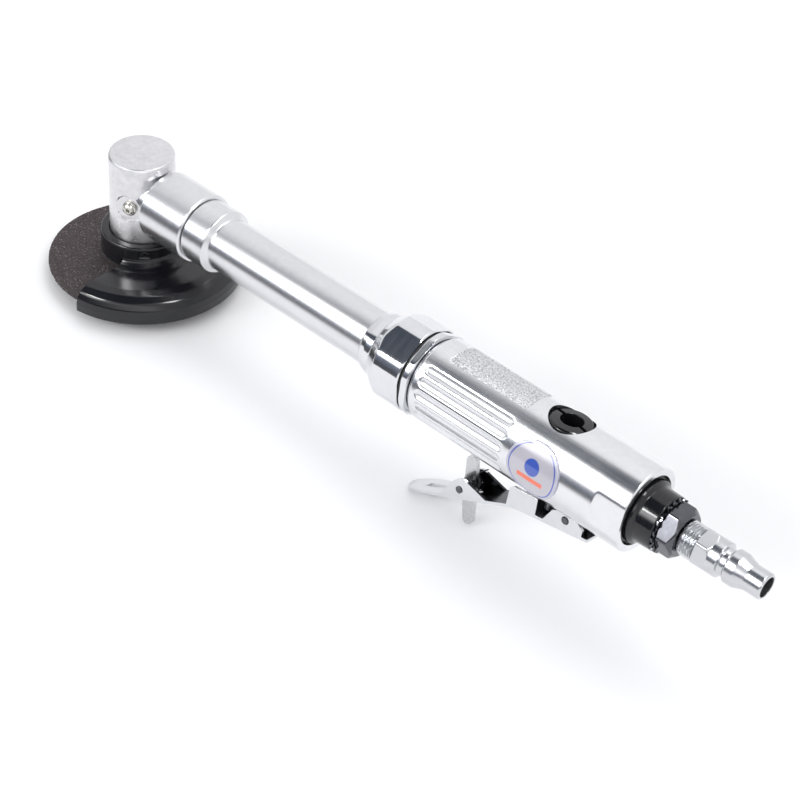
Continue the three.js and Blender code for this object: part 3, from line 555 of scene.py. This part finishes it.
# ------------------------------------------------------------------ motor housing
def housing():
    top = math.pi / 2
    fine = np.radians(np.concatenate([np.arange(45, 135, 0.55)]))
    # angles from +Y' towards +Z'; flutes lie 52.8..122.5 degrees off the top on both sides
    side1 = np.radians(np.arange(90 - 128, 90 - 46, 0.6))
    side2 = np.radians(np.arange(90 + 46, 90 + 128, 0.6))
    rest = np.radians(np.concatenate([np.arange(90 - 46, 90 + 46, 1.0), np.arange(90 + 128, 90 + 360 - 128, 1.2)]))
    th = np.sort(np.unique(np.round(np.concatenate([side1, side2, rest]) % (2 * math.pi), 6)))
    flute_a = [top + s * math.radians(a) for s in (1, -1) for a in (52.8, 70, 87.5, 105, 122.5)]

    def shape(x, r, t):
        R = np.full(t.shape, float(r))
        if r < 14.9:
            return R
        if 160.0 < x < 201.5:
            for fa in flute_a:
                d = (t - fa + math.pi) % (2 * math.pi) - math.pi
                tang = 16.3 * d
                over = max(0.0, 160.3 + 2.06 - x, x - 201.2 + 2.06)
                q = 2.06**2 - tang**2 - over**2
                g = np.where(q > 0, 17.5 - np.sqrt(np.maximum(q, 0)), 17.5 + 0.8 * np.sqrt(np.maximum(-q, 0)))
                R = np.where(np.abs(d) < 0.15, softmin(R, g, 0.42) + 0.0, R)
        if 164 < x < 203:
            arc = 16.24 * ((t - top + math.pi) % (2 * math.pi) - math.pi)
            hx, hy, c = 18.05, 8.15, 2.4
            qx, qy = abs(x - 183.55) - (hx - c), np.abs(arc) - (hy - c)
            sd = np.sqrt(np.maximum(qx, 0) ** 2 + np.maximum(qy, 0) ** 2) + np.minimum(np.maximum(qx, qy), 0) - c
            R = R - 0.5 * (1 - smoothstep(sd, -0.28, 0.05))
        if x > 240.3:
            w = smoothstep(np.array(x), 240.1, 241.1)
            flat = 14.95 / np.maximum(np.abs(np.cos(t)), 1e-3)
            R = R * (1 - w) + softmin(R, flat, 0.35) * w
        if 203.8 < x < 237.2:
            w = smoothstep(np.array(x), 203.8, 204.2) * (1 - smoothstep(np.array(x), 236.8, 237.2))
            under = (np.sin(t) < -0.85) & (np.abs(R * np.cos(t)) < 8)
            flat = 15.0 / np.maximum(-np.sin(t), 1e-3)
            R = np.where(under, R * (1 - w) + softmin(R, flat, 0.1) * w, R)
        return R

    prof = [(156.6, 13.3, 0.15), (156.6, 15.0, 0.3), (158.3, 16.24, 0.8), (252.0, 16.24, 0.35), (252.5, 15.75, 0.3), (252.5, 13.5, 0.25), (245.4, 13.5), (245.4, 8.3), (231, 8.3), (231, 3.6), (199.6, 3.6), (199.6, 13.3)]
    p = rounded(prof, 0.2, True)
    # dense along the outside, coarse inside
    q = []
    for i in range(len(p)):
        a, b = np.array(p[i]), np.array(p[(i + 1) % len(p)])
        outside = min(a[1], b[1]) > 14.9
        k = max(1, int(math.ceil(np.linalg.norm(b - a) / (0.36 if outside else 8))))
        q += [tuple(a + (b - a) * j / k) for j in range(k)]
    rings = [ring_points("X", x, shape(x, r, th), th) for x, r in q]
    o = skin("motor_housing_shell", rings, True, where="H", smooth=40)
    # bores for the regulator and the throttle valve, and the ports
    c = lathe("c1", "Z", [(4.6, 0), (4.6, 8.5), (13.8, 8.5), (17.4, 8.5), (20, 8.5), (20, 0)], 128, 0, where="H", at=(215.5, 0, 0))
    cut(o, c)
    c = lathe("c2", "Z", [(-20, 0), (-20, 4.2), (1.5, 4.2), (1.5, 0)], 64, 0, where="H", at=(216, 0, 0))
    cut(o, c)
    v = [(x, y, z) for z in (-18, -13.1) for y in (-7.1, 7.1) for x in (199.9, 226.2)]
    cut(o, make("c2b", v, [[0, 1, 3, 2], [4, 6, 7, 5], [0, 4, 5, 1], [2, 3, 7, 6], [0, 2, 6, 4], [1, 5, 7, 3]], "H"))
    resharp(o, 34)
    me = o.data
    co = np.zeros(len(me.vertices) * 3)
    me.vertices.foreach_get("co", co)
    co = co.reshape(-1, 3) * 1000
    co[:, 2] -= DROP
    y = CA * co[:, 1] - SA * co[:, 2]
    z = SA * co[:, 1] + CA * co[:, 2]
    r = np.hypot(y, z)
    arc = 16.24 * (np.arctan2(z, y) - top)
    pad = (np.abs(co[:, 0] - 183.55) < 17.9) & (np.abs(arc) < 8.0) & (r > 15.0) & (r < 15.9)
    at = me.attributes.new("pad", "FLOAT", "POINT")
    at.data.foreach_set("value", pad.astype(np.float32))
    gr = (r > 14.5) & (r < 16.0) & (co[:, 0] > 160) & (co[:, 0] < 201.5) & ~pad
    at = me.attributes.new("groove", "FLOAT", "POINT")
    at.data.foreach_set("value", gr.astype(np.float32))
    place(o, M["housing"], "tool_body", "motor_housing")
    # lever lug
    pts = [(222.6, -12.6), (222.6, -15.6)] + [(PIVOT[0] + 2.6 * math.cos(math.radians(a)), PIVOT[1] + 2.6 * math.sin(math.radians(a))) for a in np.linspace(180, 360, 25)] + [(231.8, -15.6), (231.8, -12.6)]
    o = plate("lever_lug", pts, -3.4, 3.4, "H", 0.3)
    place(o, M["housing"], "tool_body", ())
    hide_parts("motor_housing")


def plate(name, pts, y0, y1, where="A", bev=0.2, smooth=30):
    n = len(pts)
    v = [(x, y0, z) for x, z in pts] + [(x, y1, z) for x, z in pts]
    f = [list(range(n)), list(range(2 * n - 1, n - 1, -1))] + [[i, (i + 1) % n, n + (i + 1) % n, n + i] for i in range(n)]
    o = make(name, v, f, where, smooth)
    if bev:
        bevel(o, bev, 3, 40)
        apply_all(o)
        resharp(o, smooth)
        m = o.modifiers.new("wn", "WEIGHTED_NORMAL")
        m.keep_sharp = True
    return o


housing()


# ------------------------------------------------------------------ badge
def badge():
    cx, R0 = 215.15, R_HOUSING
    rim = 11.0
    nr, nt = 26, 96
    top, rad, acr, upw = [], [], [], []
    th = np.linspace(0, 2 * math.pi, nt, endpoint=False)
    prof = [(rim * k / (nr - 1), 0.8 - 0.0 + 0.28 * (1 - (k / (nr - 1)) ** 2)) for k in range(1, nr)]
    prof[-1] = (rim - 0.22, 0.80)
    prof += [(rim - 0.06, 0.70), (rim, 0.52), (rim, 0.12)]
    rings = []
    for s, h in prof:
        dx, t = s * np.cos(th), s * np.sin(th)
        ang = math.pi + t / R0            # around the local -Y' side
        r = R0 + h
        rings.append(np.stack([cx + dx, r * np.cos(ang), r * np.sin(ang)], 1))
    v = np.concatenate(rings)
    n = nt
    f = []
    for i in range(len(rings) - 1):
        for j in range(n):
            f.append([i * n + j, i * n + (j + 1) % n, (i + 1) * n + (j + 1) % n, (i + 1) * n + j])
    k = len(v)
    c_top = (cx, -(R0 + 1.08), 0.0)
    c_bot = (cx, -(R0 + 0.12), 0.0)
    v = np.concatenate([v, [c_top, c_bot]])
    f += [[k, (j + 1) % n, j] for j in range(n)]
    o0 = (len(rings) - 1) * n
    f += [[k + 1, o0 + j, o0 + (j + 1) % n] for j in range(n)]
    o = make("side_badge", v, f, "H", 35)
    vals = np.concatenate([np.repeat([s / rim for s, h in prof], nt), [0, 0]])
    for nm, arr in (("rad", vals), ("across", np.concatenate([np.concatenate([s / rim * np.cos(th) for s, h in prof]), [0, 0]])), ("upward", np.concatenate([np.concatenate([-s / rim * np.sin(th) for s, h in prof]), [0, 0]]))):
        at = o.data.attributes.new(nm, "FLOAT", "POINT")
        at.data.foreach_set("value", arr.astype(np.float32))
    place(o, M["badge"], "tool_body", "badge")


badge()


# ------------------------------------------------------------------ regulator
def regulator():
    o = lathe("regulator_knob", "Z", [(4.9, 0), (4.9, 8.1), (8.0, 8.1), (8.0, 7.2), (9.8, 7.2), (9.8, 8.1), (14.5, 8.1, 0.5), (15.15, 7.4, 0.5), (15.4, 4.3, 0.25), (8.2, 4.0, 0.2), (8.2, 0)], 128, 0.2, where="H", at=(215.5, 0, 0))
    a = math.radians(-12)
    pts = np.array([(-10, -0.75), (10, -0.75), (10, 0.75), (-10, 0.75)]) @ np.array([[math.cos(a), math.sin(a)], [-math.sin(a), math.cos(a)]])
    v = [(x + 215.5, y, 13.6) for x, y in pts] + [(x + 215.5, y, 18) for x, y in pts]
    c = make("c3", v, [[0, 1, 2, 3], [7, 6, 5, 4], [0, 1, 5, 4], [1, 2, 6, 5], [2, 3, 7, 6], [3, 0, 4, 7]], "H")
    cut(o, c)
    bevel(o, 0.16, 2, 45)
    apply_all(o)
    resharp(o, 34)
    place(o, M["plastic"], "regulator", "air_regulator")
    o = lathe("regulator_seal", "Z", [(8.25, 7.35), (8.25, 8.15), (9.55, 8.15), (9.55, 7.35)], 72, 0.3, where="H", at=(215.5, 0, 0))
    place(o, M["rubber"], "regulator", "regulator_o_ring")


regulator()


# ------------------------------------------------------------------ pieces taken from the CAD solid and finished with rounded edges
def finished(node, name, material, body, width, segments=3, angle=35, smooth=35, dissolve=1.0):
    src = NODES[node]
    o = bpy.data.objects.new(name, src.data.copy())
    bpy.context.scene.collection.objects.link(o)
    bm = bmesh.new()
    bm.from_mesh(o.data)
    bmesh.ops.remove_doubles(bm, verts=bm.verts, dist=2e-6)
    bmesh.ops.dissolve_limit(bm, angle_limit=math.radians(dissolve), verts=bm.verts, edges=bm.edges)
    bm.to_mesh(o.data)
    bm.free()
    if width:
        bevel(o, width, segments, angle)
        apply_all(o)
    resharp(o, smooth)
    m = o.modifiers.new("wn", "WEIGHTED_NORMAL")
    m.keep_sharp = True
    place(o, material, body, node)
    return o


lever = finished("throttle_lever", "lever_channel", M["chrome"], "lever", 0.32, 3, 30)
lever.data.materials.append(M["shade"])
# painted shade: the cheek insides and the web top inside the channel take the near-black material as shade, and the
# outer lower bends and the rear cheeks' top edges take it as a painted dark reflection
for poly in lever.data.polygons:
    c, nrm_p = poly.center * 1000, poly.normal
    yh, zh = CA * c.y - SA * (c.z - DROP), SA * c.y + CA * (c.z - DROP)
    ny, nz = CA * nrm_p.y - SA * nrm_p.z, SA * nrm_p.y + CA * nrm_p.z
    inner_cheek = abs(abs(yh) - 5.2) < 0.12 and abs(ny) > 0.8 and ny * yh < 0
    web_top = abs(yh) < 5.3 and nz > 0.6 and c.x > 176
    bend = nz < -0.3 and abs(ny) > 0.3
    rear_edge = nz > 0.5 and abs(yh) > 5.1 and 184 < c.x < 197
    if inner_cheek or web_top or bend or rear_edge:
        poly.material_index = 1
finished("safety_catch", "catch_strip", M["strip"], "catch", 0.2, 2, 40)
finished("guard_clamp_screw", "guard_screw", M["oxide"], "guard", 0.18, 2, 40, dissolve=0.5)
finished("wheel_screw", "wheel_screw_hex", M["dark"], "spindle_group", 0.35, 3, 40)
o = lathe("lever_pin_round", "Z", [(-6.6, 0), (-6.6, 1.3), (6.6, 1.3), (6.6, 0)], 48, 0.3, where="H", at=(PIVOT[0], 0, PIVOT[1]), tilt=np.array([[1, 0, 0], [0, 0, 1], [0, -1, 0]]))
place(o, M["oxide"], "tool_body", "lever_pin")
o = lathe("catch_pin_round", "Z", [(-6.6, 0), (-6.6, 1.3), (6.6, 1.3), (6.6, 0)], 48, 0.3, where="H", at=(CATCH_PIN[0], 0, CATCH_PIN[1]), tilt=np.array([[1, 0, 0], [0, 0, 1], [0, -1, 0]]))
place(o, M["oxide"], "lever", "catch_pin")


# ------------------------------------------------------------------ wheel guard
def guard():
    prof = [(16.3, -20.8, 0), (16.66, -21.2, 0), (17.1, -23.0, 1.6), (18.9, -24.45, 1.8), (21.8, -24.95, 3.0), (32.6, -25.0, 4.0), (36.1, -25.6, 3.5), (38.9, -27.3, 3.0), (40.35, -29.8, 3.0), (40.8, -32.4, 2.5), (40.8, -35.8, 0.45), (39.5, -35.8, 0.45), (39.5, -32.4, 1.5), (38.9, -30.2, 1.2), (37.4, -28.2, 2.0), (35.2, -26.9, 2.0), (32.4, -26.45, 2.0), (16.3, -26.25, 0)]
    th = np.linspace(0, 2 * math.pi, 256, endpoint=False)
    p = rounded([(z, r, k) for r, z, k in [(a, b, c) for a, b, c in prof]], 0.3, True, 5)
    rings = [ring_points("Z", a, np.full(th.shape, r), th) for a, r in p]
    o = skin("guard_cup", rings, True, smooth=40)
    bm = bmesh.new()
    bm.from_mesh(o.data)
    res = bmesh.ops.bisect_plane(bm, geom=bm.verts[:] + bm.edges[:] + bm.faces[:], plane_co=(0.006, 0, 0), plane_no=(1, 0, 0), clear_inner=True, dist=1e-7)
    edges = [e for e in res["geom_cut"] if isinstance(e, bmesh.types.BMEdge)]
    bmesh.ops.edgeloop_fill(bm, edges=edges)
    bmesh.ops.recalc_face_normals(bm, faces=bm.faces)
    bm.to_mesh(o.data)
    bm.free()
    bevel(o, 0.4, 3, 50)
    apply_all(o)
    resharp(o, 38)
    place(o, M["paint"], "guard", "wheel_guard")
    # collar
    c = lathe("guard_collar", "Z", [(-16.8, 13.4), (-16.8, 16.7, 0.9), (-26.3, 16.9, 0.3), (-26.3, 13.4)], 192, 0.3)
    k = lathe("e3", "X", [(12, 0), (12, 2.2), (18, 2.2), (18, 0)], 48, 0, at=(0, 0, -20.4), tilt=Zrot(-40))
    cut(c, k)
    bevel(c, 0.22, 2, 50)
    apply_all(c)
    resharp(c, 38)
    place(c, M["paint"], "guard", ())
    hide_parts("wheel_guard")


def box(name, xs, ys, zs, zdeg, bev):
    v = [(x, y, z) for z in zs for y in ys for x in xs]
    v = np.array(v) @ Zrot(zdeg).T
    o = make(name, v, [[0, 1, 3, 2], [4, 6, 7, 5], [0, 4, 5, 1], [2, 3, 7, 6], [0, 2, 6, 4], [1, 5, 7, 3]], "A")
    if bev:
        bevel(o, bev, 3, 40)
        apply_all(o)
    return o


guard()


# ------------------------------------------------------------------ wheel, flanges, spindle end
def wheel():
    rng = np.random.default_rng(7)
    th = np.linspace(0, 2 * math.pi, 360, endpoint=False)
    rough_rim = rng.normal(0, 0.05, th.shape)
    prof = [(-33.4, 4.9), (-33.4, 37.9, 0.15), (-31.8, 37.9, 0.15), (-31.8, 4.9)]
    o = lathe("abrasive_disc", "Z", prof, 360, 0.15, shape=lambda a, r, t: r + (rough_rim if r > 37 else 0), step=3.0)
    place(o, M["grit"], "spindle_group", "cutting_wheel")


wheel()
o = lathe("flange_inner", "Z", [(-31.5, 4.9), (-31.5, 11.0), (-30.2, 11.0), (-29.0, 9.5), (-29.0, 4.9)], 128, 0.2)
place(o, M["steelz"], "spindle_group", "inner_wheel_flange")
o = lathe("flange_outer", "Z", [(-35.6, 2.8), (-35.6, 9.5), (-34.6, 11.0), (-33.7, 11.0), (-33.7, 5.2), (-34.0, 5.2), (-34.0, 2.8)], 128, 0.2)
place(o, M["steelz"], "spindle_group", "outer_wheel_flange")
o = lathe("spindle_turned", "Z", [(-25.6, 0), (-25.6, 2.6), (-33.0, 2.6), (-33.0, 4.6), (-28.6, 4.6), (-28.6, 6.2), (-20.4, 6.2), (-20.4, 4.7), (-13.9, 4.7), (-13.9, 5.6), (-8.3, 5.6), (-8.3, 2.7), (14.4, 2.7), (14.4, 0)], 96, 0.15)
place(o, M["steelz"], "spindle_group", "spindle")
o = lathe("retainer_ring", "Z", [(-23.3, 6.6), (-23.3, 10.9), (-20.4, 10.9), (-20.4, 7.4), (-21.0, 6.6)], 96, 0.15)
place(o, M["dark"], "tool_body", "lower_bearing_retainer")

# ------------------------------------------------------------------ air inlet end
o = lathe("sleeve_black", "X", [(245.8, 8.4), (245.8, 9.7), (251.3, 9.7), (251.3, 12.2, 0.3), (253.7, 12.2, 0.6), (254.7, 10.75, 0.8), (261.4, 10.5, 0.35), (261.8, 10.1, 0.2), (261.8, 8.4)], 144, 0.25)
place(o, M["plastic"], "tool_body", "exhaust_sleeve")


def washer():
    n = 20
    th = np.linspace(0, 2 * math.pi, 240, endpoint=False)
    ph = (th * n / (2 * math.pi)) % 1.0
    tooth = 9.5 + 0.9 * smoothstep(np.abs(ph - 0.5), 0.5 - 0.32, 0.5 - 0.24) * 1.0
    twist = 0.25 * np.sin(2 * math.pi * ph)
    rings = [ring_points("X", 262.1, np.full(th.shape, 8.3), th), ring_points("X", 262.1, np.full(th.shape, 9.3), th), ring_points("X", 262.15 + twist, tooth, th), ring_points("X", 262.75 + twist, tooth, th), ring_points("X", 262.8, np.full(th.shape, 9.3), th), ring_points("X", 262.8, np.full(th.shape, 8.3), th)]
    o = skin("lock_washer", rings, True, smooth=35)
    place(o, M["oxide"], "tool_body", "tooth_lock_washer")


washer()
bush = [(231.5, 5.6), (231.5, 8.0), (263.1, 8.0, 0), (263.1, 9.2, 0.15), (263.6, 9.75, 0.2), (267.5, 9.75, 0.5), (269.4, 7.9, 0.3), (269.4, 5.6, 0.15)]
o = lathe("bushing_hex", "X", bush, 360, 0.2, shape=lambda a, r, th: hexagon(17.2, 143, 0.14)(a, r, th) if r > 8.05 else np.full(th.shape, float(r)), step=0.3, weighted=True)
place(o, M["oxide"], "tool_body", "inlet_bushing")


def plug():
    prof = [(236.0, 3.85), (236.0, 5.3), (269.6, 5.3, 0), (269.7, 5.7, 0), (275.6, 6.2, 0), (275.9, 5.6, 0.1), (276.1, 7.2, 0.1), (276.4, 7.4, 0.2), (280.6, 7.4, 0.3), (281.4, 6.6, 0.25), (285.0, 6.6, 0.3), (285.6, 5.3, 0.4), (287.5, 5.2, 0.5), (288.4, 6.35, 0.4), (291.6, 6.35, 0.5), (295.6, 4.95, 1.5), (301.6, 4.95, 0.4), (302.2, 4.5, 0.15), (302.2, 3.85, 0.12)]

    def shape(a, r, th):
        if 269.7 <= a <= 275.7 and r > 5.5:
            ph = ((a - 269.7) / 1.1 + th / (2 * math.pi)) % 1.0
            return 5.4 + 1.1 * (1 - np.abs(2 * ph - 1)) * np.clip((275.9 - a) / 0.4, 0, 1) * np.clip((a - 269.6) / 0.3, 0.2, 1)
        if 276.0 < a < 281.5 and r > 6.3:
            return hexagon(12.9, 165, 0.12)(a, r, th)
        return np.full(th.shape, float(r))

    o = lathe("quick_plug", "X", prof, 240, 0.2, shape=shape, step=0.12, smooth=38)
    place(o, M["zinc"], "tool_body", "air_plug")


plug()

# ------------------------------------------------------------------ materials on the CAD nodes that stay
keep = {
    "bevel_gear": "dark", "bevel_pinion": "dark", "shaft_coupler": "dark", "cylinder_liner": "dark",
    "exhaust_muffler": "felt", "rotor_vane_1": "phenolic", "rotor_vane_2": "phenolic", "rotor_vane_3": "phenolic", "rotor_vane_4": "phenolic",
    "throttle_valve_bushing": "oxide", "catch_spring": "dark",
}
for nname, obj in NODES.items():
    if obj.hide_render:
        continue
    obj.data.materials.clear()
    obj.data.materials.append(M[keep.get(nname, "steel")])

# ------------------------------------------------------------------ camera
cam_data = bpy.data.cameras.new("camera")
cam = bpy.data.objects.new("camera", cam_data)
bpy.context.scene.collection.objects.link(cam)
cam_data.lens = 94.5
cam_data.sensor_width = 36
right, up, back = Vector((0.7308, 0.6793, 0.0658)), Vector((-0.4758, 0.4382, 0.7626)), Vector((0.4893, -0.5887, 0.6435))
rot = Matrix((right, up, back)).transposed().to_4x4()
cam.matrix_world = Matrix.Translation(Vector((0.5196, -0.4555, 0.4772 + DROP / 1000))) @ rot
cam_data.clip_start, cam_data.clip_end = 0.01, 50
bpy.context.scene.camera = cam

# ------------------------------------------------------------------ floor: through the wheel screw's edge and the catch's tip
A0 = Vector((0.005, 0, -0.0002))
B0 = Vector((0.186, -0.009, -0.00765))
slope = (B0.z - A0.z) / (B0.x - A0.x)
nrm = Vector((-slope, 0, 1)).normalized()


def floor():
    s = 4.0
    u = Vector((1, 0, slope)).normalized()
    w = nrm.cross(u)
    c = A0 + nrm * -0.00023
    me = bpy.data.meshes.new("floor")
    n = 24
    vs, fs = [], []
    for i in range(n + 1):
        for j in range(n + 1):
            vs.append(c + u * (s * (2 * i / n - 1)) + w * (s * (2 * j / n - 1)))
    for i in range(n):
        for j in range(n):
            k = i * (n + 1) + j
            fs.append((k, k + n + 1, k + n + 2, k + 1))
    me.from_pydata(vs, [], fs)
    o = bpy.data.objects.new("floor", me)
    bpy.context.scene.collection.objects.link(o)
    m = Nodes("pale_floor")
    paper = m.ramp(m.noise(9, 4, 0.5), [(0.3, (0.865, 0.865, 0.868)), (0.7, (0.895, 0.895, 0.898))])
    m.set(Base_Color=paper, Roughness=m.ramp(m.noise(60, 3, 0.5), [(0.3, 0.72), (0.7, 0.80)]))
    m.b.inputs["Specular IOR Level"].default_value = 0.2
    me.materials.append(m.m)


floor()


def flag():
    """black studio flag standing on the paper, out of sight: only reflections see it"""
    along, off = Vector((0.778, -0.628, 0)), Vector((0.628, 0.778, 0)) * -0.15
    vs, fs = [], []
    for i in range(13):
        q = off + along * (-0.5 + i / 12)
        z0 = A0.z + slope * (q.x - A0.x) + 0.0002
        vs += [(q.x, q.y, z0), (q.x, q.y, z0 + 0.055)]
    for i in range(12):
        fs.append((2 * i, 2 * i + 2, 2 * i + 3, 2 * i + 1))
    me = bpy.data.meshes.new("studio_flag")
    me.from_pydata(vs, [], fs)
    o = bpy.data.objects.new("studio_flag", me)
    bpy.context.scene.collection.objects.link(o)
    m = Nodes("flag_cloth")
    m.set(Base_Color=m.ramp(m.noise(40, 3, 0.5), [(0.3, (0.055, 0.058, 0.068)), (0.7, (0.070, 0.073, 0.083))]), Roughness=0.9)
    me.materials.append(m.m)
    o.visible_camera = False
    o.visible_diffuse = False
    o.visible_shadow = False


flag()

# ------------------------------------------------------------------ light: two long soft strips with a dark gap between them, low dark surround
world = bpy.data.worlds.new("studio")
bpy.context.scene.world = world
world.use_nodes = True
nt = world.node_tree
nt.nodes.clear()
out = nt.nodes.new("ShaderNodeOutputWorld")
bg = nt.nodes.new("ShaderNodeBackground")
tc = nt.nodes.new("ShaderNodeTexCoord")
sp = nt.nodes.new("ShaderNodeSeparateXYZ")
nt.links.new(tc.outputs["Generated"], sp.inputs[0])


LAMP = 10.4


def wm(op, a, b=None):
    n = nt.nodes.new("ShaderNodeMath")
    n.operation = op
    for i, x in enumerate((a, b)):
        if x is None:
            continue
        if isinstance(x, (int, float)):
            n.inputs[i].default_value = x
        else:
            nt.links.new(x, n.inputs[i])
    return n.outputs[0]


psi = wm("DIVIDE", wm("ARCTAN2", sp.outputs[2], sp.outputs[1]), math.pi)  # 0 at +Y, 0.5 up, 1 at -Y
rampn = nt.nodes.new("ShaderNodeValToRGB")
stops = [(0.0, 0.80), (0.06, 0.84), (0.30, 0.87), (0.70, 0.84), (0.742, 0.98), (0.890, 1.0), (0.906, (0.125, 0.142, 0.185)), (1.0, (0.11, 0.124, 0.160))]
e = rampn.color_ramp.elements
e[0].position, e[1].position = 0.0, 1.0
for i, (p, c) in enumerate(stops):
    el = e[0] if i == 0 else (e[-1] if i == len(stops) - 1 else e.new(p))
    el.color = (*c, 1) if isinstance(c, tuple) else (c, c * 1.003, c * 1.025, 1)
nt.links.new(psi, rampn.inputs[0])


def wramp(fac, pts):
    n = nt.nodes.new("ShaderNodeValToRGB")
    el = n.color_ramp.elements
    el[0].position, el[1].position = pts[0][0], pts[-1][0]
    for i, (q, v) in enumerate(pts):
        x = el[0] if i == 0 else (el[-1] if i == len(pts) - 1 else el.new(q))
        x.color = (v, v, v, 1)
    nt.links.new(fac, n.inputs[0])
    return n.outputs[0]


# the dark gap is wide over the motor and narrow over the head
shift = wm("MAXIMUM", wm("MINIMUM", wm("ADD", sp.outputs[0], 0.42), 0.0), -0.25)
low = wm("ADD", psi, wm("MULTIPLY", shift, 1.0))
along = wm("ADD", wm("MULTIPLY", sp.outputs[0], 0.5), 0.5)                      # 0..1 for x = -1..1
high = wm("ADD", psi, wm("MULTIPLY", shift, 0.50))
gap = wm("MULTIPLY", wm("MULTIPLY", wramp(low, [(0.440, 0.0), (0.466, 1.0)]), wramp(high, [(0.675, 1.0), (0.703, 0.0)])), wramp(along, [(0.60, 1.0), (0.70, 0.0)]))
# the front strip is a bright lamp over part of its length
lamp = wm("MULTIPLY", wramp(wm("ADD", psi, wm("MULTIPLY", shift, 0.25)), [(0.746, 0.0), (0.778, 0.42), (0.795, 0.50), (0.808, 0.78), (0.822, 0.50), (0.845, 0.40), (0.885, 0.0)]), wramp(along, [(0.04, 0.25), (0.10, 1.0), (0.40, 1.0), (0.52, 0.12)]))
over = wm("MULTIPLY", wramp(psi, [(0.29, 0.0), (0.32, 1.0), (0.42, 1.0), (0.45, 0.0)]), wramp(along, [(0.36, 0.0), (0.40, 1.0), (0.60, 1.0), (0.66, 0.0)]))
# towards the two ends of the tool the gap closes to a mid grey
endn = wm("MULTIPLY", wm("SUBTRACT", wm("ABSOLUTE", sp.outputs[0]), 0.78), 6.0)
clamp = nt.nodes.new("ShaderNodeClamp")
nt.links.new(endn, clamp.inputs[0])
mix = nt.nodes.new("ShaderNodeMix")
mix.data_type = "RGBA"
nt.links.new(clamp.outputs[0], mix.inputs["Factor"])
nt.links.new(rampn.outputs[0], mix.inputs[6])
mix.inputs[7].default_value = (0.70, 0.70, 0.71, 1)
mix2 = nt.nodes.new("ShaderNodeMix")
mix2.data_type = "RGBA"
nt.links.new(gap, mix2.inputs["Factor"])
nt.links.new(mix.outputs[2], mix2.inputs[6])
mix2.inputs[7].default_value = (0.040, 0.050, 0.070, 1)
nt.links.new(mix2.outputs[2], bg.inputs[0])
nt.links.new(wm("ADD", wm("ADD", wm("MULTIPLY", lamp, LAMP), 1.15), wm("MULTIPLY", over, 2.0)), bg.inputs[1])
plain = nt.nodes.new("ShaderNodeBackground")
plain.inputs[0].default_value = (0.93, 0.93, 0.935, 1)
seen = nt.nodes.new("ShaderNodeLightPath")
pick = nt.nodes.new("ShaderNodeMixShader")
nt.links.new(seen.outputs["Is Camera Ray"], pick.inputs[0])
nt.links.new(bg.outputs[0], pick.inputs[1])
nt.links.new(plain.outputs[0], pick.inputs[2])
nt.links.new(pick.outputs[0], out.inputs[0])

fill_data = bpy.data.lights.new("overhead_fill", "AREA")
fill_data.shape = "SQUARE"
fill_data.size = 2.6
fill_data.energy = 10.0
fill = bpy.data.objects.new("overhead_fill", fill_data)
bpy.context.scene.collection.objects.link(fill)
fill.location = (0.15, 0.1, 1.7)
fill.visible_glossy = False
fill.visible_camera = False

# two small soft boxes that only the glossy finishes pick up
for nm, at, aim, sx, sy, watts in (("softbox_front", (-0.19, -0.65, 0.74), (0.0135, -0.037, 0.018), 0.30, 0.11, 4.2), ("softbox_over", (0.556, 0.0, 0.83), (0.036, -0.017, 0.018), 0.15, 0.26, 3.2)):
    ld = bpy.data.lights.new(nm, "AREA")
    ld.shape = "RECTANGLE"
    ld.size, ld.size_y, ld.energy = sx, sy, watts
    lo_ = bpy.data.objects.new(nm, ld)
    bpy.context.scene.collection.objects.link(lo_)
    lo_.location = at
    lo_.rotation_euler = (Vector(aim) - Vector(at)).to_track_quat("-Z", "Y").to_euler()
    lo_.visible_camera = False
    lo_.visible_diffuse = False

sc = bpy.context.scene
sc.view_settings.view_transform = "Standard"
sc.view_settings.look = "None"
sc.view_settings.exposure = 0.0
